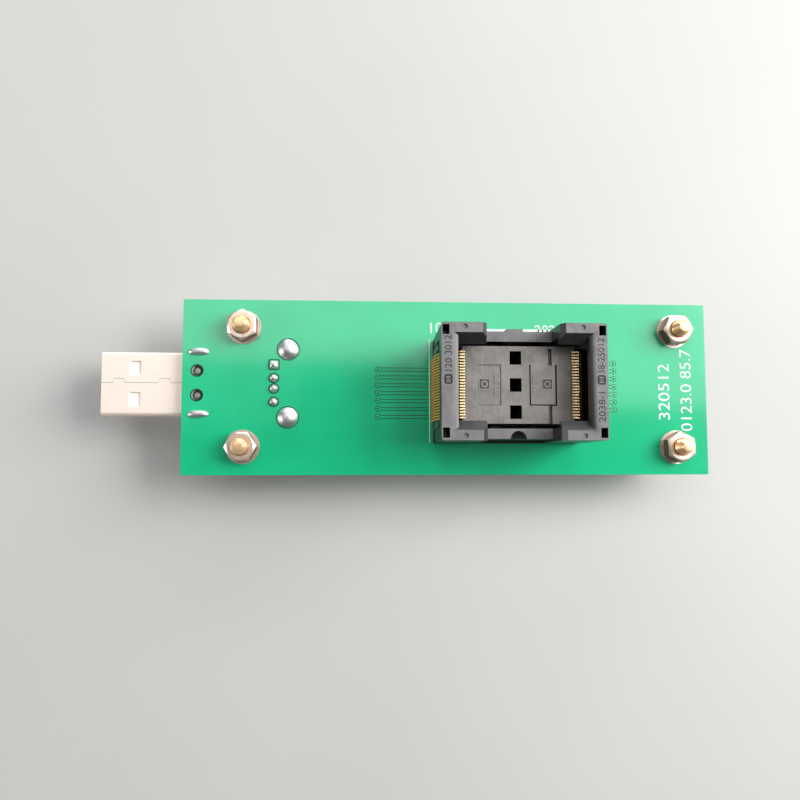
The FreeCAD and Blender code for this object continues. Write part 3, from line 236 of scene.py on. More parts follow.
def turned_metal(name, colour, darker, roughness, side_shade=1.0):
    """Metal turned on a lathe about each stud's axis; its sides are painted darker than its turned faces, as painted
    shade.
    """
    g = Graph(name, Metallic=0.7)
    radius = g.math("ADD", g.stud_radius(), g.math("MULTIPLY", g.noise(0.9, 2), 0.03))
    rings = g.math("SINE", g.math("MULTIPLY", radius, 60.0))
    dull = g.remap(g.noise(1.3, 4), 0.0, 0.7, 0.5, 0.8)
    shine = g.remap(rings, roughness - 0.02, roughness + 0.03, -1.0, 1.0)
    # Faces whose normals lie near level take the darker colour times a factor: painted shade on the sides.
    turned = g.remap(g.math("ABSOLUTE", g.normal()[2]), 0.0, 1.0, 0.25, 0.6)
    side = rgb(*(side_shade * c for c in darker[:3]))
    return g.use(
        Base_Color=g.blend(turned, side, g.blend(dull, colour, darker)),
        Roughness=g.math("ADD", shine, g.math("MULTIPLY", dull, 0.12)),
        Normal=g.bump(g.math("ADD", rings, g.noise(0.2, 3)), 0.0007),
    )


def board_material(name, colour, paler, edge, edge_dark):
    """Glossy mask on both faces; the cut edges and the drilled walls show the layered glass fibre, whose pale colour on
    the eased top edge is a painted highlight.
    """
    g = Graph(name, Coat_Weight=1.0, Coat_Roughness=0.11, Coat_IOR=1.8, Specular_IOR_Level=0.1)
    x, y, z = g.axes()
    weave = g.math(
        "MULTIPLY",
        g.math("SINE", g.math("MULTIPLY", x, 2 * math.pi / (0.55 * MM))),
        g.math("SINE", g.math("MULTIPLY", y, 2 * math.pi / (0.45 * MM))),
    )
    mottle = g.math("ADD", g.noise(9, 3), g.math("MULTIPLY", weave, 0.025))
    mask = g.blend(g.remap(mottle, 0.0, 1.0, 0.3, 0.72), colour, paler)
    layers = g.math("SINE", g.math("MULTIPLY", z, 2 * math.pi / (0.2 * MM)))
    fibre = g.math("ADD", g.math("MULTIPLY", layers, 0.22), g.noise(0.25, 3, vector=g.stretch(1, 1, 6)))
    laminate_and_edge_highlight = g.blend(g.remap(fibre, 0.0, 1.0, 0.2, 0.8), edge, edge_dark)
    upright = g.math("ABSOLUTE", g.normal()[2])
    # Tilted faces, the eased top edge among them, take the laminate colour; on that edge it is a painted highlight.
    face = g.remap(upright, 0.0, 1.0, 0.9, 0.97)
    speck = g.remap(g.noise(0.35, 2), 0.0, 0.12, 0.66, 0.78)
    dust = g.remap(g.cells(5.5), 0.75, 0.0, 0.018, 0.03)
    return g.use(
        Base_Color=g.blend(face, laminate_and_edge_highlight, g.blend(dust, mask, rgb(0.75, 0.85, 0.8))),
        Roughness=g.math("ADD", g.remap(face, 0.75, 0.3, 0.0, 1.0), speck),
        Normal=g.bump(g.math("ADD", g.noise(2.2, 3), g.math("MULTIPLY", weave, 0.12)), 0.006),
    )


def ink_material(name, colour):
    """Printed ink, slightly grainy."""
    g = Graph(name)
    grain = g.noise(0.16, 3)
    return g.use(
        Base_Color=g.blend(g.remap(grain, 0.0, 1.0), colour, rgb(*(0.86 * c for c in colour[:3]))),
        Roughness=g.remap(grain, 0.5, 0.65),
        Normal=g.bump(grain, 0.004),
    )


def solder_material(name):
    """Solder that has cooled to a satin skin with a few bright facets."""
    g = Graph(name, Metallic=1.0)
    skin = g.noise(0.3, 4, 0.6)
    facets = g.cells(0.5)
    return g.use(
        Base_Color=g.blend(g.remap(skin, 0.0, 1.0), rgb(0.82, 0.82, 0.83), rgb(0.46, 0.46, 0.48)),
        Roughness=g.math("ADD", g.remap(skin, 0.36, 0.54), g.remap(facets, -0.05, 0.05, 0.0, 0.8)),
        Normal=g.bump(g.math("ADD", skin, facets), 0.03, 0.7),
    )


def insulator_material(name, colour, paler, peg):
    """The plug's plastic; its two pegs, where they stand in the board's holes, are painted near-black as painted shade.
    """
    g = Graph(name, Coat_Weight=0.2, Coat_Roughness=0.25)
    x, y, z = g.axes()
    peg_hole_shade = g.math("GREATER_THAN", z, (UNDER + 0.02) * MM)
    fine = g.noise(0.1, 2)
    wear = g.noise(0.6, 3)
    return g.use(
        # Above the board's underside the pegs take the peg colour: painted shade in the holes.
        Base_Color=g.blend(peg_hole_shade, g.blend(g.remap(wear, 0.0, 1.0), colour, paler), peg),
        Roughness=g.remap(wear, 0.4, 0.25),
        Normal=g.bump(fine, 0.004),
    )


def make_materials():
    made = {
        "solder_mask": board_material(
            "solder_mask", rgb(0.001, 0.45, 0.20), rgb(0.001, 0.50, 0.23), rgb(0.60, 0.80, 0.62), rgb(0.32, 0.50, 0.32)
        ),
        # Brass and nickel sides are painted darker as painted shade; the nickel's last number darkens its sides
        # further.
        "brass": turned_metal("brass", rgb(1.0, 0.67, 0.38), rgb(0.86, 0.50, 0.26), 0.28),
        "nickel": turned_metal("nickel", rgb(0.84, 0.67, 0.57), rgb(0.60, 0.43, 0.34), 0.28, 0.35),
        "plug_nickel": metal(
            "plug_nickel", rgb(1.0, 0.87, 0.78), rgb(0.96, 0.82, 0.73), 0.42, streak=(0.06, 1, 1), grain=0.08, depth=0.001,
            metallic=0.4,
        ),
        "white_plastic": insulator_material(
            # The third colour is painted shade on the pegs inside the board's holes.
            "white_plastic", rgb(0.85, 0.83, 0.81), rgb(0.92, 0.91, 0.89), rgb(0.035, 0.033, 0.03)
        ),
        "black_plastic": plastic("black_plastic", rgb(0.018, 0.018, 0.019), rgb(0.04, 0.04, 0.041), 0.45, 0.1, 0.006),
        "gold_plate": metal(
            "gold_plate", rgb(0.98, 0.70, 0.33), rgb(0.72, 0.45, 0.18), 0.3, streak=(1, 1, 0.2), grain=0.07, depth=0.003,
            metallic=0.7,
        ),
        # An orange, half-metallic copy of the contact gold, painted brighter as painted light on stems that sit in the
        # cover's shadow.
        "contact_stems": metal(
            "contact_stems", rgb(1.0, 0.50, 0.13), rgb(0.78, 0.34, 0.07), 0.3, streak=(1, 1, 0.2), grain=0.07, depth=0.003,
            metallic=0.5,
        ),
        # Gold tips; the near-black colour under them is painted shade.
        "contact_tips": gold_tips_over_shade(
            "contact_tips", rgb(1.0, 0.74, 0.40), rgb(0.055, 0.032, 0.015), 0.3, NEST_HIGH.z + TIP_HEIGHT - 0.1
        ),
        "tin_plate": metal("tin_plate", rgb(0.74, 0.74, 0.75), rgb(0.50, 0.50, 0.51), 0.33, streak=(0.2, 1, 1)),
        "solder": solder_material("solder"),
        "socket_base_plastic": plastic(
            "socket_base_plastic", rgb(0.020, 0.024, 0.024), rgb(0.038, 0.044, 0.043), 0.3, 0.12, 0.005, 0.25
        ),
        "socket_cover_plastic": sheen_topped_plastic(
            "socket_cover_plastic",
            # First two colours: painted shade on walls; next two: painted sheen on level faces.
            rgb(0.016, 0.017, 0.016),
            rgb(0.030, 0.031, 0.030),
            rgb(0.125, 0.122, 0.128),
            rgb(0.21, 0.205, 0.21),
            0.42,
            0.1,
            0.005,
        ),
        "nest_plastic": sheen_topped_plastic(
            "nest_plastic",
            # First two colours: painted shade on walls; next two: painted sheen on level faces.
            rgb(0.020, 0.020, 0.019),
            rgb(0.035, 0.034, 0.032),
            rgb(0.15, 0.14, 0.13),
            rgb(0.25, 0.235, 0.22),
            0.38,
            0.12,
            0.006,
            0.5,
        ),
        "spring_steel": metal("spring_steel", rgb(0.62, 0.61, 0.60), rgb(0.4, 0.39, 0.38), 0.25),
        "chip_epoxy": plastic("chip_epoxy", rgb(0.016, 0.016, 0.018), rgb(0.035, 0.035, 0.037), 0.55, 0.05, 0.006),
        "ceramic": plastic("ceramic", rgb(0.30, 0.26, 0.22), rgb(0.40, 0.35, 0.30), 0.5, 0.08, 0.004),
        "capacitor_ceramic": plastic(
            "capacitor_ceramic", rgb(0.36, 0.24, 0.14), rgb(0.46, 0.33, 0.22), 0.42, 0.06, 0.003
        ),
        "resistor_glaze": plastic("resistor_glaze", rgb(0.014, 0.014, 0.016), rgb(0.03, 0.03, 0.034), 0.25, 0.08, 0.002),
        "led_resin": plastic("led_resin", rgb(0.84, 0.60, 0.42), rgb(0.9, 0.72, 0.56), 0.2, 0.2, 0.002, 0.4),
        "ink": ink_material("ink", rgb(0.70, 0.87, 0.81)),
        # Dark green-black: the bare lines in the copper, and painted shade in the via bores.
        "gap": plastic("gap", rgb(0.001, 0.018, 0.012), rgb(0.002, 0.035, 0.022), 0.5, 0.12, 0.003),
        # Grey peg domes: painted shade on white plastic inside the board's holes.
        "peg": plastic("peg", rgb(0.20, 0.19, 0.185), rgb(0.34, 0.33, 0.32), 0.2, 0.3, 0.01, 0.6),
        # Paler raised marks on the nest: painted highlight.
        "relief_highlight": plastic("relief_highlight", rgb(0.22, 0.21, 0.20), rgb(0.32, 0.31, 0.30), 0.36, 0.1, 0.004),
        # Dark colours for sunk marks: painted shade in the grooves.
        "sunk_shade": plastic("sunk_shade", rgb(0.045, 0.044, 0.046), rgb(0.085, 0.083, 0.086), 0.5, 0.08, 0.004),
        "mark_shade": plastic("mark_shade", rgb(0.020, 0.020, 0.021), rgb(0.035, 0.035, 0.036), 0.5, 0.08, 0.004),
    }
    return made


MATERIALS = make_materials()


# ---------------------------------------------------------------- meshes
class Shape:
    """Vertices and faces of one piece, gathered from several forms."""

    def __init__(self):
        self.points = []
        self.faces = []

    def add(self, points, faces):
        start = len(self.points)
        self.points += [tuple(p) for p in points]
        self.faces += [[start + k for k in face] for face in faces]

    def rings(self, rows, closed=True, cap_first=False, cap_last=False):
        """Faces between rows of points; closed joins each row's last point to its first."""
        across = len(rows[0])
        steps = across if closed else across - 1
        faces = [
            (r * across + c, r * across + (c + 1) % across, (r + 1) * across + (c + 1) % across, (r + 1) * across + c)
            for r in range(len(rows) - 1)
            for c in range(steps)
        ]
        if cap_first:
            faces.append(tuple(reversed(range(across))))
        if cap_last:
            faces.append(tuple((len(rows) - 1) * across + c for c in range(across)))
        self.add([p for row in rows for p in row], faces)

    def slab(self, outline, low, high):
        """An outline in x and y raised from one height to another."""
        self.rings([[(x, y, z) for x, y in outline] for z in (low, high)], cap_first=True, cap_last=True)


def shade(obj, sharp=32):
    mesh = obj.data
    mesh.polygons.foreach_set("use_smooth", [True] * len(mesh.polygons))
    mesh.set_sharp_from_angle(angle=math.radians(sharp))
    return obj


def flatten_faces(obj):
    """Shade large faces flat right up to their eased edges."""
    step = obj.modifiers.new("flat_faces", "WEIGHTED_NORMAL")
    step.weight = 100
    step.keep_sharp = True
    return obj


def mesh_object(name, shape, material):
    mesh = bpy.data.meshes.new(name)
    mesh.from_pydata([Vector(p) * MM for p in shape.points], [], shape.faces)
    work = bmesh.new()
    work.from_mesh(mesh)
    bmesh.ops.remove_doubles(work, verts=work.verts, dist=1e-8)
    bmesh.ops.recalc_face_normals(work, faces=work.faces)
    work.to_mesh(mesh)
    work.free()
    mesh.materials.append(MATERIALS[material])
    obj = bpy.data.objects.new(name, mesh)
    bpy.context.scene.collection.objects.link(obj)
    return shade(obj)


def finish_piece(obj, body="board", stands_for=()):
    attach(obj, body)
    if stands_for:
        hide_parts(*stands_for)
    return obj


def piece(name, shape, material, body="board", stands_for=()):
    return finish_piece(mesh_object(name, shape, material), body, stands_for)


def settle(obj):
    """Turn an object's modifiers into its own mesh."""
    graph = bpy.context.evaluated_depsgraph_get()
    mesh = bpy.data.meshes.new_from_object(obj.evaluated_get(graph))
    obj.modifiers.clear()
    obj.data = mesh
    return obj


def solid_copy(node, name, material, bevel):
    """A welded copy of a CAD node with eased edges, ready to be cut into."""
    mesh = bpy.data.meshes.new(name)
    work = bmesh.new()
    work.from_mesh(frame["nodes"][node].data)
    bmesh.ops.remove_doubles(work, verts=work.verts, dist=1e-7)
    bmesh.ops.dissolve_limit(work, angle_limit=math.radians(0.5), verts=work.verts, edges=work.edges)
    work.to_mesh(mesh)
    work.free()
    for layer in [a for a in mesh.attributes if a.name == "custom_normal"]:
        mesh.attributes.remove(layer)
    mesh.materials.clear()
    mesh.materials.append(MATERIALS[material])
    obj = bpy.data.objects.new(name, mesh)
    bpy.context.scene.collection.objects.link(obj)
    ease(obj, bevel)
    return settle(obj)


def ease(obj, width, segments=2):
    step = obj.modifiers.new("eased_edges", "BEVEL")
    step.width = width * MM
    step.segments = segments
    step.limit_method = "ANGLE"
    step.angle_limit = math.radians(40)
    step.use_clamp_overlap = True
    return obj


def carve(obj, cutters):
    for cutter in cutters:
        step = obj.modifiers.new(cutter.name, "BOOLEAN")
        step.operation = "DIFFERENCE"
        step.solver = "EXACT"
        step.material_mode = "TRANSFER"
        step.object = cutter
    settle(obj)
    for cutter in cutters:
        bpy.data.objects.remove(cutter)
    return flatten_faces(shade(obj, 50))


def dress(node, material, bevel=0.0, segments=2):
    """Give a CAD node its material, and soft edges that leave its own mesh as it is."""
    obj = frame["nodes"][node]
    for place in obj.material_slots:
        place.material = MATERIALS[material]
    if bevel:
        weld = obj.modifiers.new("weld", "WELD")
        weld.merge_threshold = 1e-7
        flatten_faces(ease(obj, bevel, segments))
    return obj


# ---------------------------------------------------------------- outlines
def circle(x, y, radius, steps=32, start=0.0, sweep=math.tau):
    closed = abs(sweep - math.tau) < 1e-6
    count = steps if closed else steps + 1
    return [
        (x + radius * math.cos(start + sweep * k / steps), y + radius * math.sin(start + sweep * k / steps))
        for k in range(count)
    ]


def rectangle(x0, y0, x1, y1):
    return [(x0, y0), (x1, y0), (x1, y1), (x0, y1)]


def rounded(x0, y0, x1, y1, radius, steps=4):
    corners = [(x1 - radius, y1 - radius, 0), (x0 + radius, y1 - radius, 1), (x0 + radius, y0 + radius, 2), (x1 - radius, y0 + radius, 3)]
    return [
        point
        for x, y, quarter in corners
        for point in circle(x, y, radius, steps, quarter * math.pi / 2, math.pi / 2)
    ]


def ribbon(shape, path, width, low, high, closed=False):
    """A flat strip of one width along a path in x and y."""
    count = len(path)
    left, right = [], []
    for k, (x, y) in enumerate(path):
        x0, y0 = path[(k - 1) % count] if closed or k else path[0]
        x1, y1 = path[(k + 1) % count] if closed or k < count - 1 else path[-1]
        along = Vector((x1 - x0, y1 - y0)).normalized()
        left.append((x - along.y * width / 2, y + along.x * width / 2))
        right.append((x + along.y * width / 2, y - along.x * width / 2))
    section = [[(*a, low), (*b, low), (*b, high), (*a, high)] for a, b in zip(left, right)]
    if closed:
        section.append(section[0])
    shape.rings(section, cap_first=not closed, cap_last=not closed)


# ---------------------------------------------------------------- board print and copper
MOAT = 0.11  # width of the bare line round a copper track
TRACK = 0.3  # from a track's middle to the moat's middle
RING = 0.5  # radius of the moat round a via
PIN_MOAT = 0.91  # radius of the moat round a pin
SQUARE_MOAT = 0.95  # half the side of the moat round the first pin
TAB_MOAT = 2.04  # radius of the moat round a tab
PEG_MOAT = 1.08  # radius of the moat round a peg's hole
STUD_PAD = 2.825  # middle radius of the tinned ring under each nut


def make_moats():
    """Bare lines in the copper: round each via and along both sides of its track."""
    shape = Shape()
    low, high = TOP, TOP + 0.012
    gap = math.asin(TRACK / RING)
    ends = {-1: SOCKET_LOW.x + 0.3, 1: SOCKET_HIGH.x - 0.3}
    for side, middles in VIAS.items():
        for x, y in middles:
            start = gap if side < 0 else math.pi + gap
            arc = circle(x, y, RING, 22, start, math.tau - 2 * gap)
            path = [(ends[side], arc[0][1]), *arc, (ends[side], arc[-1][1])]
            ribbon(shape, path, MOAT, low, high)
    for y in USB_LINES:
        centre = (PIN_X, RECEPTACLE_Y + y)
        if y == USB_LINES[0]:
            x, y = centre
            square = rounded(x - SQUARE_MOAT, y - SQUARE_MOAT, x + SQUARE_MOAT, y + SQUARE_MOAT, 0.15)
            ribbon(shape, square, 0.18, low, high, True)
        else:
            ribbon(shape, circle(*centre, PIN_MOAT), 0.18, low, high, True)
    for sign in (-1, 1):
        ribbon(shape, circle(TAB_X, RECEPTACLE_Y + sign * TAB_Y, TAB_MOAT, 48), 0.16, low, high, True)
    for sign in (-1, 1):
        ribbon(shape, circle(PEG_X, PLUG_Y + sign * PEG_Y, PEG_MOAT, 32), 0.24, low, high, True)
    piece("copper_gaps", shape, "gap")


def make_stud_pads():
    """A tinned ring on the board shows round each nut."""
    shape = Shape()
    for middle in STUDS:
        ribbon(shape, circle(*middle, STUD_PAD, 48), 0.75, TOP, TOP + 0.02, True)
    piece("stud_pads", shape, "nickel")


def make_vias():
    """The mask sinks a little into each via and leaves a low rim round a bore painted near-black as painted shade."""
    rims, bore_shades = Shape(), Shape()
    for middles in VIAS.values():
        for x, y in middles:
            rim = ((0.3, 0.0), (0.27, 0.006), (0.2, 0.006), (0.17, 0.0), (0.165, -0.03))
            rims.rings([[(*p, TOP + z) for p in circle(x, y, r, 18)] for r, z in rim])
            bore = ((0.166, -0.01), (0.166, -0.3), (0.0166, -0.31))
            bore_shades.rings([[(*p, TOP + z) for p in circle(x, y, r, 18)] for r, z in bore], cap_last=True)
    piece("via_rims", rims, "solder_mask")
    # The dark bore colour is painted shade inside the via.
    piece("via_bore_shades", bore_shades, "gap")


def text_mesh(name, text, centre, size, turn, low, high, material, weight=0.0):
    """Digits fitted to a box of length and height, turned about z, between two heights."""
    curve = bpy.data.curves.new(name, "FONT")
    curve.body = text
    curve.extrude = 0.5
    curve.offset = weight
    curve.resolution_u = 5
    obj = bpy.data.objects.new(name, curve)
    bpy.context.scene.collection.objects.link(obj)
    graph = bpy.context.evaluated_depsgraph_get()
    graph.update()
    mesh = bpy.data.meshes.new_from_object(obj.evaluated_get(graph))
    bpy.data.objects.remove(obj)
    spans = [(min(v.co[k] for v in mesh.vertices), max(v.co[k] for v in mesh.vertices)) for k in range(3)]
    angle = math.radians(turn)
    for v in mesh.vertices:
        u, w, d = ((v.co[k] - a) / (b - a) for k, (a, b) in enumerate(spans))
        along, up = (u - 0.5) * size[0], (w - 0.5) * size[1]
        v.co = Vector(
            (
                centre[0] + along * math.cos(angle) - up * math.sin(angle),
                centre[1] + along * math.sin(angle) + up * math.cos(angle),
                low + d * (high - low),
            )
        ) * MM
    work = bmesh.new()
    work.from_mesh(mesh)
    bmesh.ops.remove_doubles(work, verts=work.verts, dist=1e-8)
    work.to_mesh(mesh)
    work.free()
    mesh.materials.clear()
    mesh.materials.append(MATERIALS[material])
    made = bpy.data.objects.new(name, mesh)
    bpy.context.scene.collection.objects.link(made)
    return made


def make_print():
    """White print: a line round the socket and rows of plain numbers."""
    low, high = TOP, TOP + 0.022
    shape = Shape()
    for x in (SOCKET_LOW.x - 0.54, SOCKET_HIGH.x + 0.54):
        shape.slab(rectangle(x - 0.09, SOCKET_LOW.y + 0.2, x + 0.09, SOCKET_HIGH.y + 0.04), low, high)
    piece("socket_outline_print", shape, "ink")
    rear_line = SOCKET_HIGH.y + 1.85
    shape = Shape()
    shape.slab(rectangle(SOCKET.x - 4.0, rear_line - 0.42, SOCKET.x + 10.0, rear_line + 0.42), low, high)
    piece("socket_rear_print", shape, "ink")
    rows = {
        "number_row_a": ("320512", (39.1, -0.55), (10.8, 2.2), 90),
        "number_row_b": ("0123.0 85.7", (43.45, -0.2), (15.9, 2.2), 90),
        "number_row_c": ("10", (-4.95, 11.45), (2.3, 2.1), 0),
        "number_row_d": ("202", (SOCKET.x + 7.8, rear_line + 0.3), (4.0, 1.9), 0),
    }
    for name, (text, centre, size, turn) in rows.items():
        finish_piece(text_mesh(name, text, centre, size, turn, low, high, "ink"))


# ---------------------------------------------------------------- solder
def blob(shape, x, y, half_x, half_y, height, draw, floor=TOP, up=1, bulge=0.75, full=2.0):
    """A cooled drop: a wobbly rim and a crown that is a little off centre."""
    around, levels = 32, 8
    phases = [draw.uniform(0, math.tau) for _ in range(3)]
    lean = (draw.uniform(-0.08, 0.08), draw.uniform(-0.08, 0.08))
    rows = []
    for level in range(levels):
        t = 1 - level / levels
        row = []
        for k in range(around):
            a = math.tau * k / around
            ripple = 1 + 0.03 * math.sin(2 * a + phases[0]) + 0.02 * math.sin(3 * a + phases[1])
            ripple += 0.012 * math.sin(7 * a + phases[2]) * (1 - t)
            reach = t * ripple
            rise = (1 - t**2.2) ** bulge
            across = math.copysign(abs(math.cos(a)) ** (2 / full), math.cos(a))
            along = math.copysign(abs(math.sin(a)) ** (2 / full), math.sin(a))
            row.append(
                (
                    x + half_x * (reach * across + lean[0] * (1 - t)),
                    y + half_y * (reach * along + lean[1] * (1 - t)),
                    floor + up * height * rise,
                )
            )
        rows.append(row)
    shape.rings(rows, cap_first=True, cap_last=True)


def make_solder():
    draw = random.Random(7)
    shape = Shape()
    pin_height = max(0.66, node_box("usb_receptacle_contacts")[1].z - TOP + 0.12)
    for y in USB_LINES:
        middle = (PIN_X, RECEPTACLE_Y + y)
        square = y == USB_LINES[0]
        if square:
            blob(shape, *middle, 0.8, 0.8, pin_height, draw, bulge=0.6, full=7.0)
        else:
            blob(shape, *middle, 0.79, 0.79, pin_height, draw, bulge=0.8)
    for sign in (-1, 1):
        blob(shape, TAB_X, RECEPTACLE_Y + sign * TAB_Y, 1.9, 1.9, 1.05, draw, bulge=1.0)
        slot_x = PLUG_HIGH.x - 1.2
        blob(shape, slot_x, PLUG_Y + sign * 5.85, 1.88, 0.76, 0.72, draw, bulge=0.6, full=2.4)
    piece("soldered_joints", shape, "solder", stands_for=["connector_solder"])


# ---------------------------------------------------------------- standoffs
TURN = 48  # points round a standoff, a multiple of six
PITCH = 0.5
THREAD_DEPTH = 0.2


def make_peg_tips():
    """The plug's two moulding pegs end in low shiny domes inside the board's holes, coloured grey as painted shade."""
    shape = Shape()
    high = node_box("usb_plug_insulator")[1].z
    for sign in (-1, 1):
        x, y = PEG_X, PLUG_Y + sign * PEG_Y
        rows = []
        for reach, rise in ((0.66, -0.25), (0.62, -0.05), (0.5, 0.06), (0.34, 0.15), (0.18, 0.2), (0.04, 0.22)):
            rows.append([(*p, high + rise) for p in circle(x - 0.05 * rise, y, reach, 24)])
        shape.rings(rows, cap_first=True, cap_last=True)
    piece("peg_tips", shape, "peg")


def make_standoffs():
    """Hexagonal spacers with cut threads inside and on the stud; each is one closed skin."""
    angles = [math.tau * k / TURN for k in range(TURN)]
    low, high = node_box("brass_standoffs")
    apothem = 2.75
    shoulder = UNDER

    def hexagon(angle, limit):
        return min(apothem / math.cos(angle % (math.pi / 3) - math.pi / 6), limit)

    def thread(angle, z, crest, inward):
        phase = (z / PITCH - angle / math.tau) % 1
        cut = THREAD_DEPTH * min(1.0, max(0.0, 1.25 * abs(2 * phase - 1) - 0.12))
        return crest + cut if inward else crest - cut

    def stud(angle, z):
        tip = 1.5 - max(0.0, z - (high.z - 0.68)) * 0.95
        return min(thread(angle, z, 1.5, False), tip)

    rows = [[(0.02, a, 7.7) for a in angles], [(1.2, a, 7.0) for a in angles]]
    steps = 84
    for k in range(steps + 1):
        z = 7.0 - k * 7.0 / steps
        mouth = max(0.0, 0.35 - z) if z < 0.35 else 0.0
        rows.append([(max(thread(a, z, 1.25, True), 1.25 + mouth), a, z) for a in angles])
    for z, limit in ((0.0, 2.55), (0.12, 2.76), (0.24, 2.97), (0.38, 4.0)):
        rows.append([(hexagon(a, limit), a, z) for a in angles])
    for z, limit in ((0.38, 4.0), (0.24, 2.97), (0.12, 2.76), (0.0, 2.6)):
        rows.append([(hexagon(a, limit), a, shoulder - z) for a in angles])
    rows.append([(1.38, a, shoulder) for a in angles])
    steps = 74
    for k in range(1, steps + 1):
        z = shoulder + k * (high.z - 0.25 - shoulder) / steps
        rows.append([(stud(a, z), a, z) for a in angles])
    rows += [[(r, a, high.z - drop) for a in angles] for r, drop in ((0.93, 0.08), (0.88, 0.02), (0.8, 0.0), (0.1, 0.0))]
    shape = Shape()
    for x, y in STUDS:
        placed = [[(x + r * math.cos(a), y + r * math.sin(a), z) for r, a, z in row] for row in rows]
        shape.rings(placed, cap_first=True, cap_last=True)
    piece("threaded_standoffs", shape, "brass", stands_for=["brass_standoffs"])


# ---------------------------------------------------------------- usb plug
def make_plug():
    """The folded shell, with the seam where its two edges lock along the middle."""
    shell = solid_copy("usb_plug_shell", "plug_shell", "plug_nickel", 0.09)
    seam = Shape()
    jogs = ((-65.72, -63.64), (-57.3, -55.1))
    y0, y1 = PLUG_Y + 0.17, PLUG_Y + 0.97
    path = [(PLUG_LOW.x - 0.5, y0)]
    for left, right in jogs:
        path += [(left - 0.05, y0), (left + 0.1, y1), (right - 0.25, y1), (right + 0.05, y0)]
    path.append((BOARD_LOW.x + 2, y0))
    ribbon(seam, path, 0.07, PLUG_HIGH_SHEET - 0.14, PLUG_HIGH_SHEET + 0.5)
    # The seam's cut faces take a dark colour: painted shade in the slit.
    carve(shell, [mesh_object("seam_cutter", seam, "sunk_shade")])
    finish_piece(shell, stands_for=["usb_plug_shell"])


PLUG_HIGH_SHEET = UNDER  # the shell's upper face lies against the board


# ---------------------------------------------------------------- socket
def make_cover():
    """The push-down frame, with plain numbers and ejector marks sunk into its rim; the cut faces of the numbers and
    framed marks are painted dark as painted shade, while the round pits keep the cover's plastic.
    """
    cover = solid_copy("socket_cover", "push_cover", "socket_cover_plastic", 0.07)
    rim = SOCKET_HIGH.z
    cutters = []
    rows = {
        "cut_a": ("38-25012", (SOCKET_HIGH.x - 1.15, SOCKET.y + 4.3), (6.0, 1.15), 90),
        "cut_b": ("2038-1", (SOCKET_HIGH.x - 1.15, SOCKET.y - 4.3), (5.0, 1.15), 90),
        "cut_c": ("120 3012", (SOCKET_LOW.x + 1.15, SOCKET.y + 4.6), (6.0, 1.15), 90),
    }
    # The numbers' cut faces are painted dark as painted shade.
    for name, (text, centre, size, turn) in rows.items():
        cutters.append(text_mesh(name, text, centre, size, turn, rim - 0.12, rim + 0.2, "sunk_shade"))
    marks = Shape()
    for x in (SOCKET_LOW.x + 1.15, SOCKET_HIGH.x - 1.15):
        y = SOCKET.y + 0.25
        ribbon(marks, rounded(x - 0.52, y - 0.66, x + 0.52, y + 0.66, 0.22), 0.34, rim - 0.12, rim + 0.2, True)
        ribbon(marks, circle(x, y, 0.24, 16), 0.14, rim - 0.12, rim + 0.2, True)
    # The framed marks' cut faces are painted dark as painted shade.
    cutters.append(mesh_object("mark_cutter", marks, "mark_shade"))
    pits = Shape()
    for sx in (-1, 1):
        for sy in (-1, 1):
            x, y = SOCKET.x + sx * 9.95, SOCKET.y + sy * 9.1
            ring = circle(x, y, 0.42, 20)
            pits.rings([[(*p, z) for p in ring] for z in (rim - 0.22, rim + 0.2)], cap_first=True, cap_last=True)
    cutters.append(mesh_object("pit_cutter", pits, "socket_cover_plastic"))
    carve(cover, cutters)
    finish_piece(cover, "cover", ["socket_cover"])


def make_nest_marks():
    """Mouldings on the nest's two panels: a framed dimple and a pad of plain digits on each; the raised frames and
    digits are painted paler as painted highlight, and the dimple is a thin sheet painted dark as painted shade.
    """
    top = NEST_HIGH.z
    frames, dimple_shades, pads = Shape(), Shape(), Shape()
    panels = ((-1, -5.9, -3.7, top - 0.12, "0150"), (1, 5.15, 3.05, top, "0120"))
    for side, frame_x, pad_x, face, digits in panels:
        x, y = SOCKET.x + frame_x, SOCKET.y + 0.15
        ribbon(frames, rounded(x - 0.92, y - 0.92, x + 0.92, y + 0.92, 0.12), 0.16, face - 0.02, face + 0.07, True)
        dimple_shades.slab(rounded(x - 0.86, y - 0.86, x + 0.86, y + 0.86, 0.1), face - 0.02, face + 0.012)
        profile = ((0.62, 0.0), (0.56, 0.07), (0.42, 0.07), (0.36, 0.005))
        frames.rings([[(*p, face + z) for p in circle(x, y, r, 28)] for r, z in profile])
        x = SOCKET.x + pad_x
        pads.slab(rounded(x - 0.6, y - 2.1, x + 0.6, y + 2.1, 0.12), face - 0.02, face + 0.03)
        text = text_mesh(f"nest_digits_{side + 1}", digits, (x, y), (3.6, 0.9), 90, face, face + 0.1, "relief_highlight")
        finish_piece(text)
    # Paler raised frames: painted highlight; dark dimple sheets: painted shade.
    piece("nest_frames", frames, "relief_highlight")
    piece("nest_dimple_shades", dimple_shades, "sunk_shade")
    piece("nest_pads", pads, "nest_plastic")


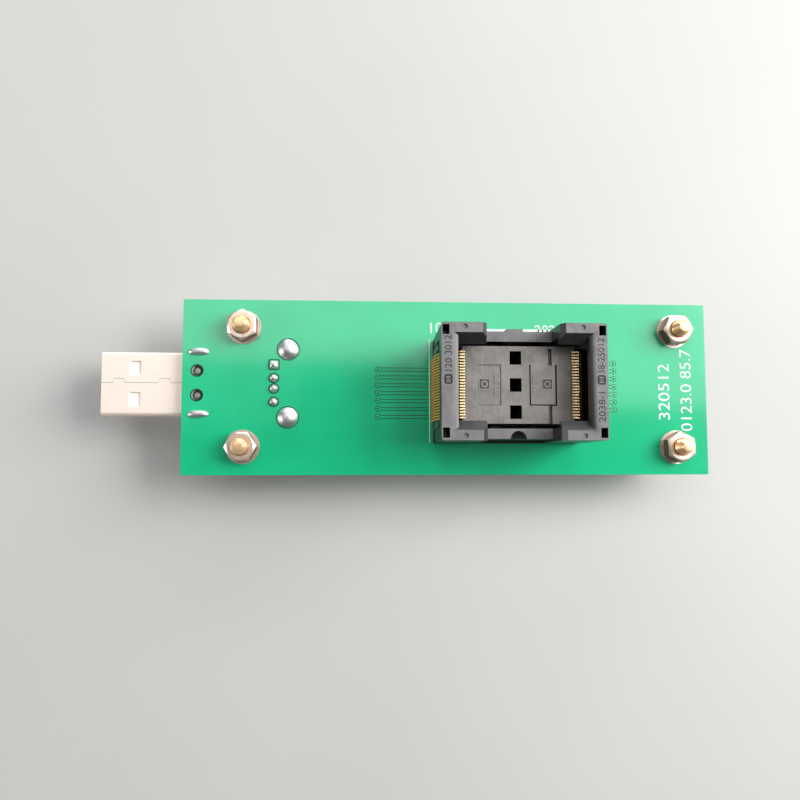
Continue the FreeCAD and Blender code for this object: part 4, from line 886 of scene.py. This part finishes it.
def make_springs():
    """Coil springs with closed ends, spanning the height of the CAD's springs."""
    low, high = node_box("cover_springs")
    wire, radius, turns, steps, around = 0.1, 0.55, 13, 18, 7
    shape = Shape()
    bottom, top = low.z + wire, high.z - wire
    total = turns * steps
    for sx in (-1, 1):
        for sy in (-1, 1):
            x, y = SOCKET.x + sx * 9.0, SOCKET.y + sy * 8.72
            rows = []
            for k in range(total + 1):
                t = k / total
                eased = t + 0.018 * math.sin(math.tau * t)
                a = turns * math.tau * t
                z = bottom + (top - bottom) * min(1, max(0, eased))
                row = []
                for n in range(around):
                    b = math.tau * n / around
                    reach = radius + wire * math.cos(b)
                    row.append((x + reach * math.cos(a), y + reach * math.sin(a), z + wire * math.sin(b)))
                rows.append(row)
            shape.rings(rows, cap_first=True, cap_last=True)
    springs = piece("coil_springs", shape, "spring_steel", stands_for=["cover_springs"])
    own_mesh(springs)


# ---------------------------------------------------------------- underside
def make_underside():
    """Pads and print that the parts under the board sit on."""
    low, high = UNDER - 0.02, UNDER
    pads, ink = Shape(), Shape()
    lead_low, lead_high = node_box("controller_leads")
    body_low, body_high = node_box("controller_package")
    middle = (body_low + body_high) / 2
    for k in range(12):
        offset = (k - 5.5) * 0.5
        for sign in (-1, 1):
            edge = lead_high.x - middle.x
            near, far = sorted((sign * (edge - 0.6), sign * (edge + 0.25)))
            pads.slab(rectangle(middle.x + near, middle.y + offset - 0.14, middle.x + far, middle.y + offset + 0.14), low, high)
            pads.slab(rectangle(middle.x + offset - 0.14, middle.y + near, middle.x + offset + 0.14, middle.y + far), low, high)
    piece("underside_pads", pads, "tin_plate")
    ribbon(ink, rounded(lead_low.x - 0.7, lead_low.y - 0.7, lead_high.x + 0.7, lead_high.y + 0.7, 0.3), 0.16, low, high, True)
    ink.slab(circle(lead_low.x - 1.2, lead_low.y - 0.4, 0.3, 20), low, high)
    crystal_low, crystal_high = node_box("crystal_base")
    ribbon(ink, rounded(crystal_low.x - 0.35, crystal_low.y - 0.35, crystal_high.x + 0.35, crystal_high.y + 0.35, 0.2), 0.14, low, high, True)
    piece("underside_print", ink, "ink")


# ---------------------------------------------------------------- stage
def make_stage():
    g = Graph("floor")
    soft = g.noise(120, 3)
    floor_material = g.use(
        Base_Color=g.blend(g.remap(soft, 0.0, 1.0), rgb(0.50, 0.50, 0.495), rgb(0.54, 0.54, 0.535)),
        Roughness=g.remap(soft, 0.6, 0.7),
    )
    mesh = bpy.data.meshes.new("floor")
    reach, depth = 3.0, -0.00005
    mesh.from_pydata([(x, y, depth) for x, y in rectangle(-reach, -reach, reach, reach)], [], [(0, 1, 2, 3)])
    mesh.materials.append(floor_material)
    floor = bpy.data.objects.new("floor", mesh)
    bpy.context.scene.collection.objects.link(floor)


def area_light(name, place, target, size, watts, colour=(1, 1, 1)):
    data = bpy.data.lights.new(name, "AREA")
    data.shape = "RECTANGLE"
    data.size, data.size_y = size
    data.energy = watts
    data.color = colour
    lamp = bpy.data.objects.new(name, data)
    lamp.location = place
    lamp.rotation_mode = "QUATERNION"
    lamp.rotation_quaternion = (Vector(target) - Vector(place)).to_track_quat("-Z", "Y")
    bpy.context.scene.collection.objects.link(lamp)


CEILING_HEIGHT = 0.58
# Bright panels overhead, in metres: a name, the corners (x0, y0, x1, y1) and the radiance.
CEILING = (
    ("ceiling", (-0.42, 0.105, 0.52, 0.60), 1.55),
    ("ceiling_right", (0.20, 0.052, 0.52, 0.105), 1.55),
    ("ceiling_left", (-0.42, 0.03, -0.10, 0.105), 0.2),
)


def make_light():
    """A bright ceiling towards the rear, a window on the right, and a dim room."""
    world = bpy.data.worlds.new("studio")
    world.use_nodes = True
    background = next(n for n in world.node_tree.nodes if n.type == "BACKGROUND")
    background.inputs["Color"].default_value = (0.93, 0.96, 1.0, 1.0)
    background.inputs["Strength"].default_value = 0.14
    bpy.context.scene.world = world
    for name, (x0, y0, x1, y1), radiance in CEILING:
        place = ((x0 + x1) / 2, (y0 + y1) / 2, CEILING_HEIGHT)
        size = (x1 - x0, y1 - y0)
        area_light(name, place, (*place[:2], 0), size, radiance * math.pi * size[0] * size[1], (1.0, 0.99, 0.97))
    area_light("rear_window", (0.05, 0.85, 0.22), (0.0, 0.0, 0.03), (0.9, 0.34), 4.5, (0.95, 0.97, 1.0))
    area_light("left_window", (-0.62, -0.06, 0.17), (0.0, 0.0, 0.015), (0.3, 0.2), 1.3, (1.0, 0.97, 0.93))
    area_light("window", (0.50, 0.14, 0.36), (0, 0, 0.01), (0.4, 0.4), 6.2, (1.0, 0.98, 0.95))
    bpy.context.scene.view_settings.view_transform = "Standard"


def make_camera():
    """The photograph's viewpoint: nearly straight above the board's left half."""
    data = bpy.data.cameras.new("camera")
    data.sensor_width = 36.0
    data.lens = 27.045
    data.shift_y = 0.036
    data.clip_start, data.clip_end = 0.005, 20.0
    camera = bpy.data.objects.new("camera", data)
    axes = Matrix(((0.9989, -0.0009, 0.0477), (-0.0020, 0.9982, 0.0605), (-0.0477, -0.0605, 0.9970)))
    camera.rotation_mode = "QUATERNION"
    camera.rotation_quaternion = axes.transposed().to_quaternion()
    camera.location = Vector((-17.32, -14.68, 124.51)) * MM
    bpy.context.scene.collection.objects.link(camera)
    bpy.context.scene.camera = camera


# ---------------------------------------------------------------- assembly
DRESSED = {
    "circuit_board": ("solder_mask", 0.18),
    "hex_nuts": ("nickel", 0.05),
    "usb_plug_insulator": ("white_plastic", 0.08),
    "usb_plug_contacts": ("gold_plate", 0.03),
    "usb_receptacle_shell": ("tin_plate", 0.06),
    "usb_receptacle_insulator": ("black_plastic", 0.08),
    "usb_receptacle_contacts": ("gold_plate", 0.03),
    "socket_solder": ("solder", 0),
    "socket_base": ("socket_base_plastic", 0.08),
    "chip_nest": ("nest_plastic", 0.05),
    "contact_stems_left": ("contact_stems", 0.02),
    "contact_stems_right": ("contact_stems", 0.02),
    "contact_arms_left": ("contact_tips", 0.02),
    "contact_arms_right": ("contact_tips", 0.02),
    "controller_package": ("chip_epoxy", 0.1),
    "controller_leads": ("tin_plate", 0.02),
    "crystal_base": ("ceramic", 0.05),
    "crystal_lid": ("nickel", 0.1),
    "regulator_package": ("chip_epoxy", 0.1),
    "regulator_leads": ("tin_plate", 0.04),
    "capacitor_bodies": ("capacitor_ceramic", 0.04),
    "resistor_bodies": ("resistor_glaze", 0.03),
    "chip_end_caps": ("tin_plate", 0.05),
    "led_body": ("white_plastic", 0.03),
    "led_lens": ("led_resin", 0.1),
}

make_camera()
make_light()
make_stage()
for node_name, (material_name, bevel_width) in DRESSED.items():
    dress(node_name, material_name, bevel_width)
make_moats()
make_stud_pads()
make_vias()
make_print()
make_solder()
make_peg_tips()
make_standoffs()
make_plug()
make_cover()
make_nest_marks()
make_springs()
make_underside()
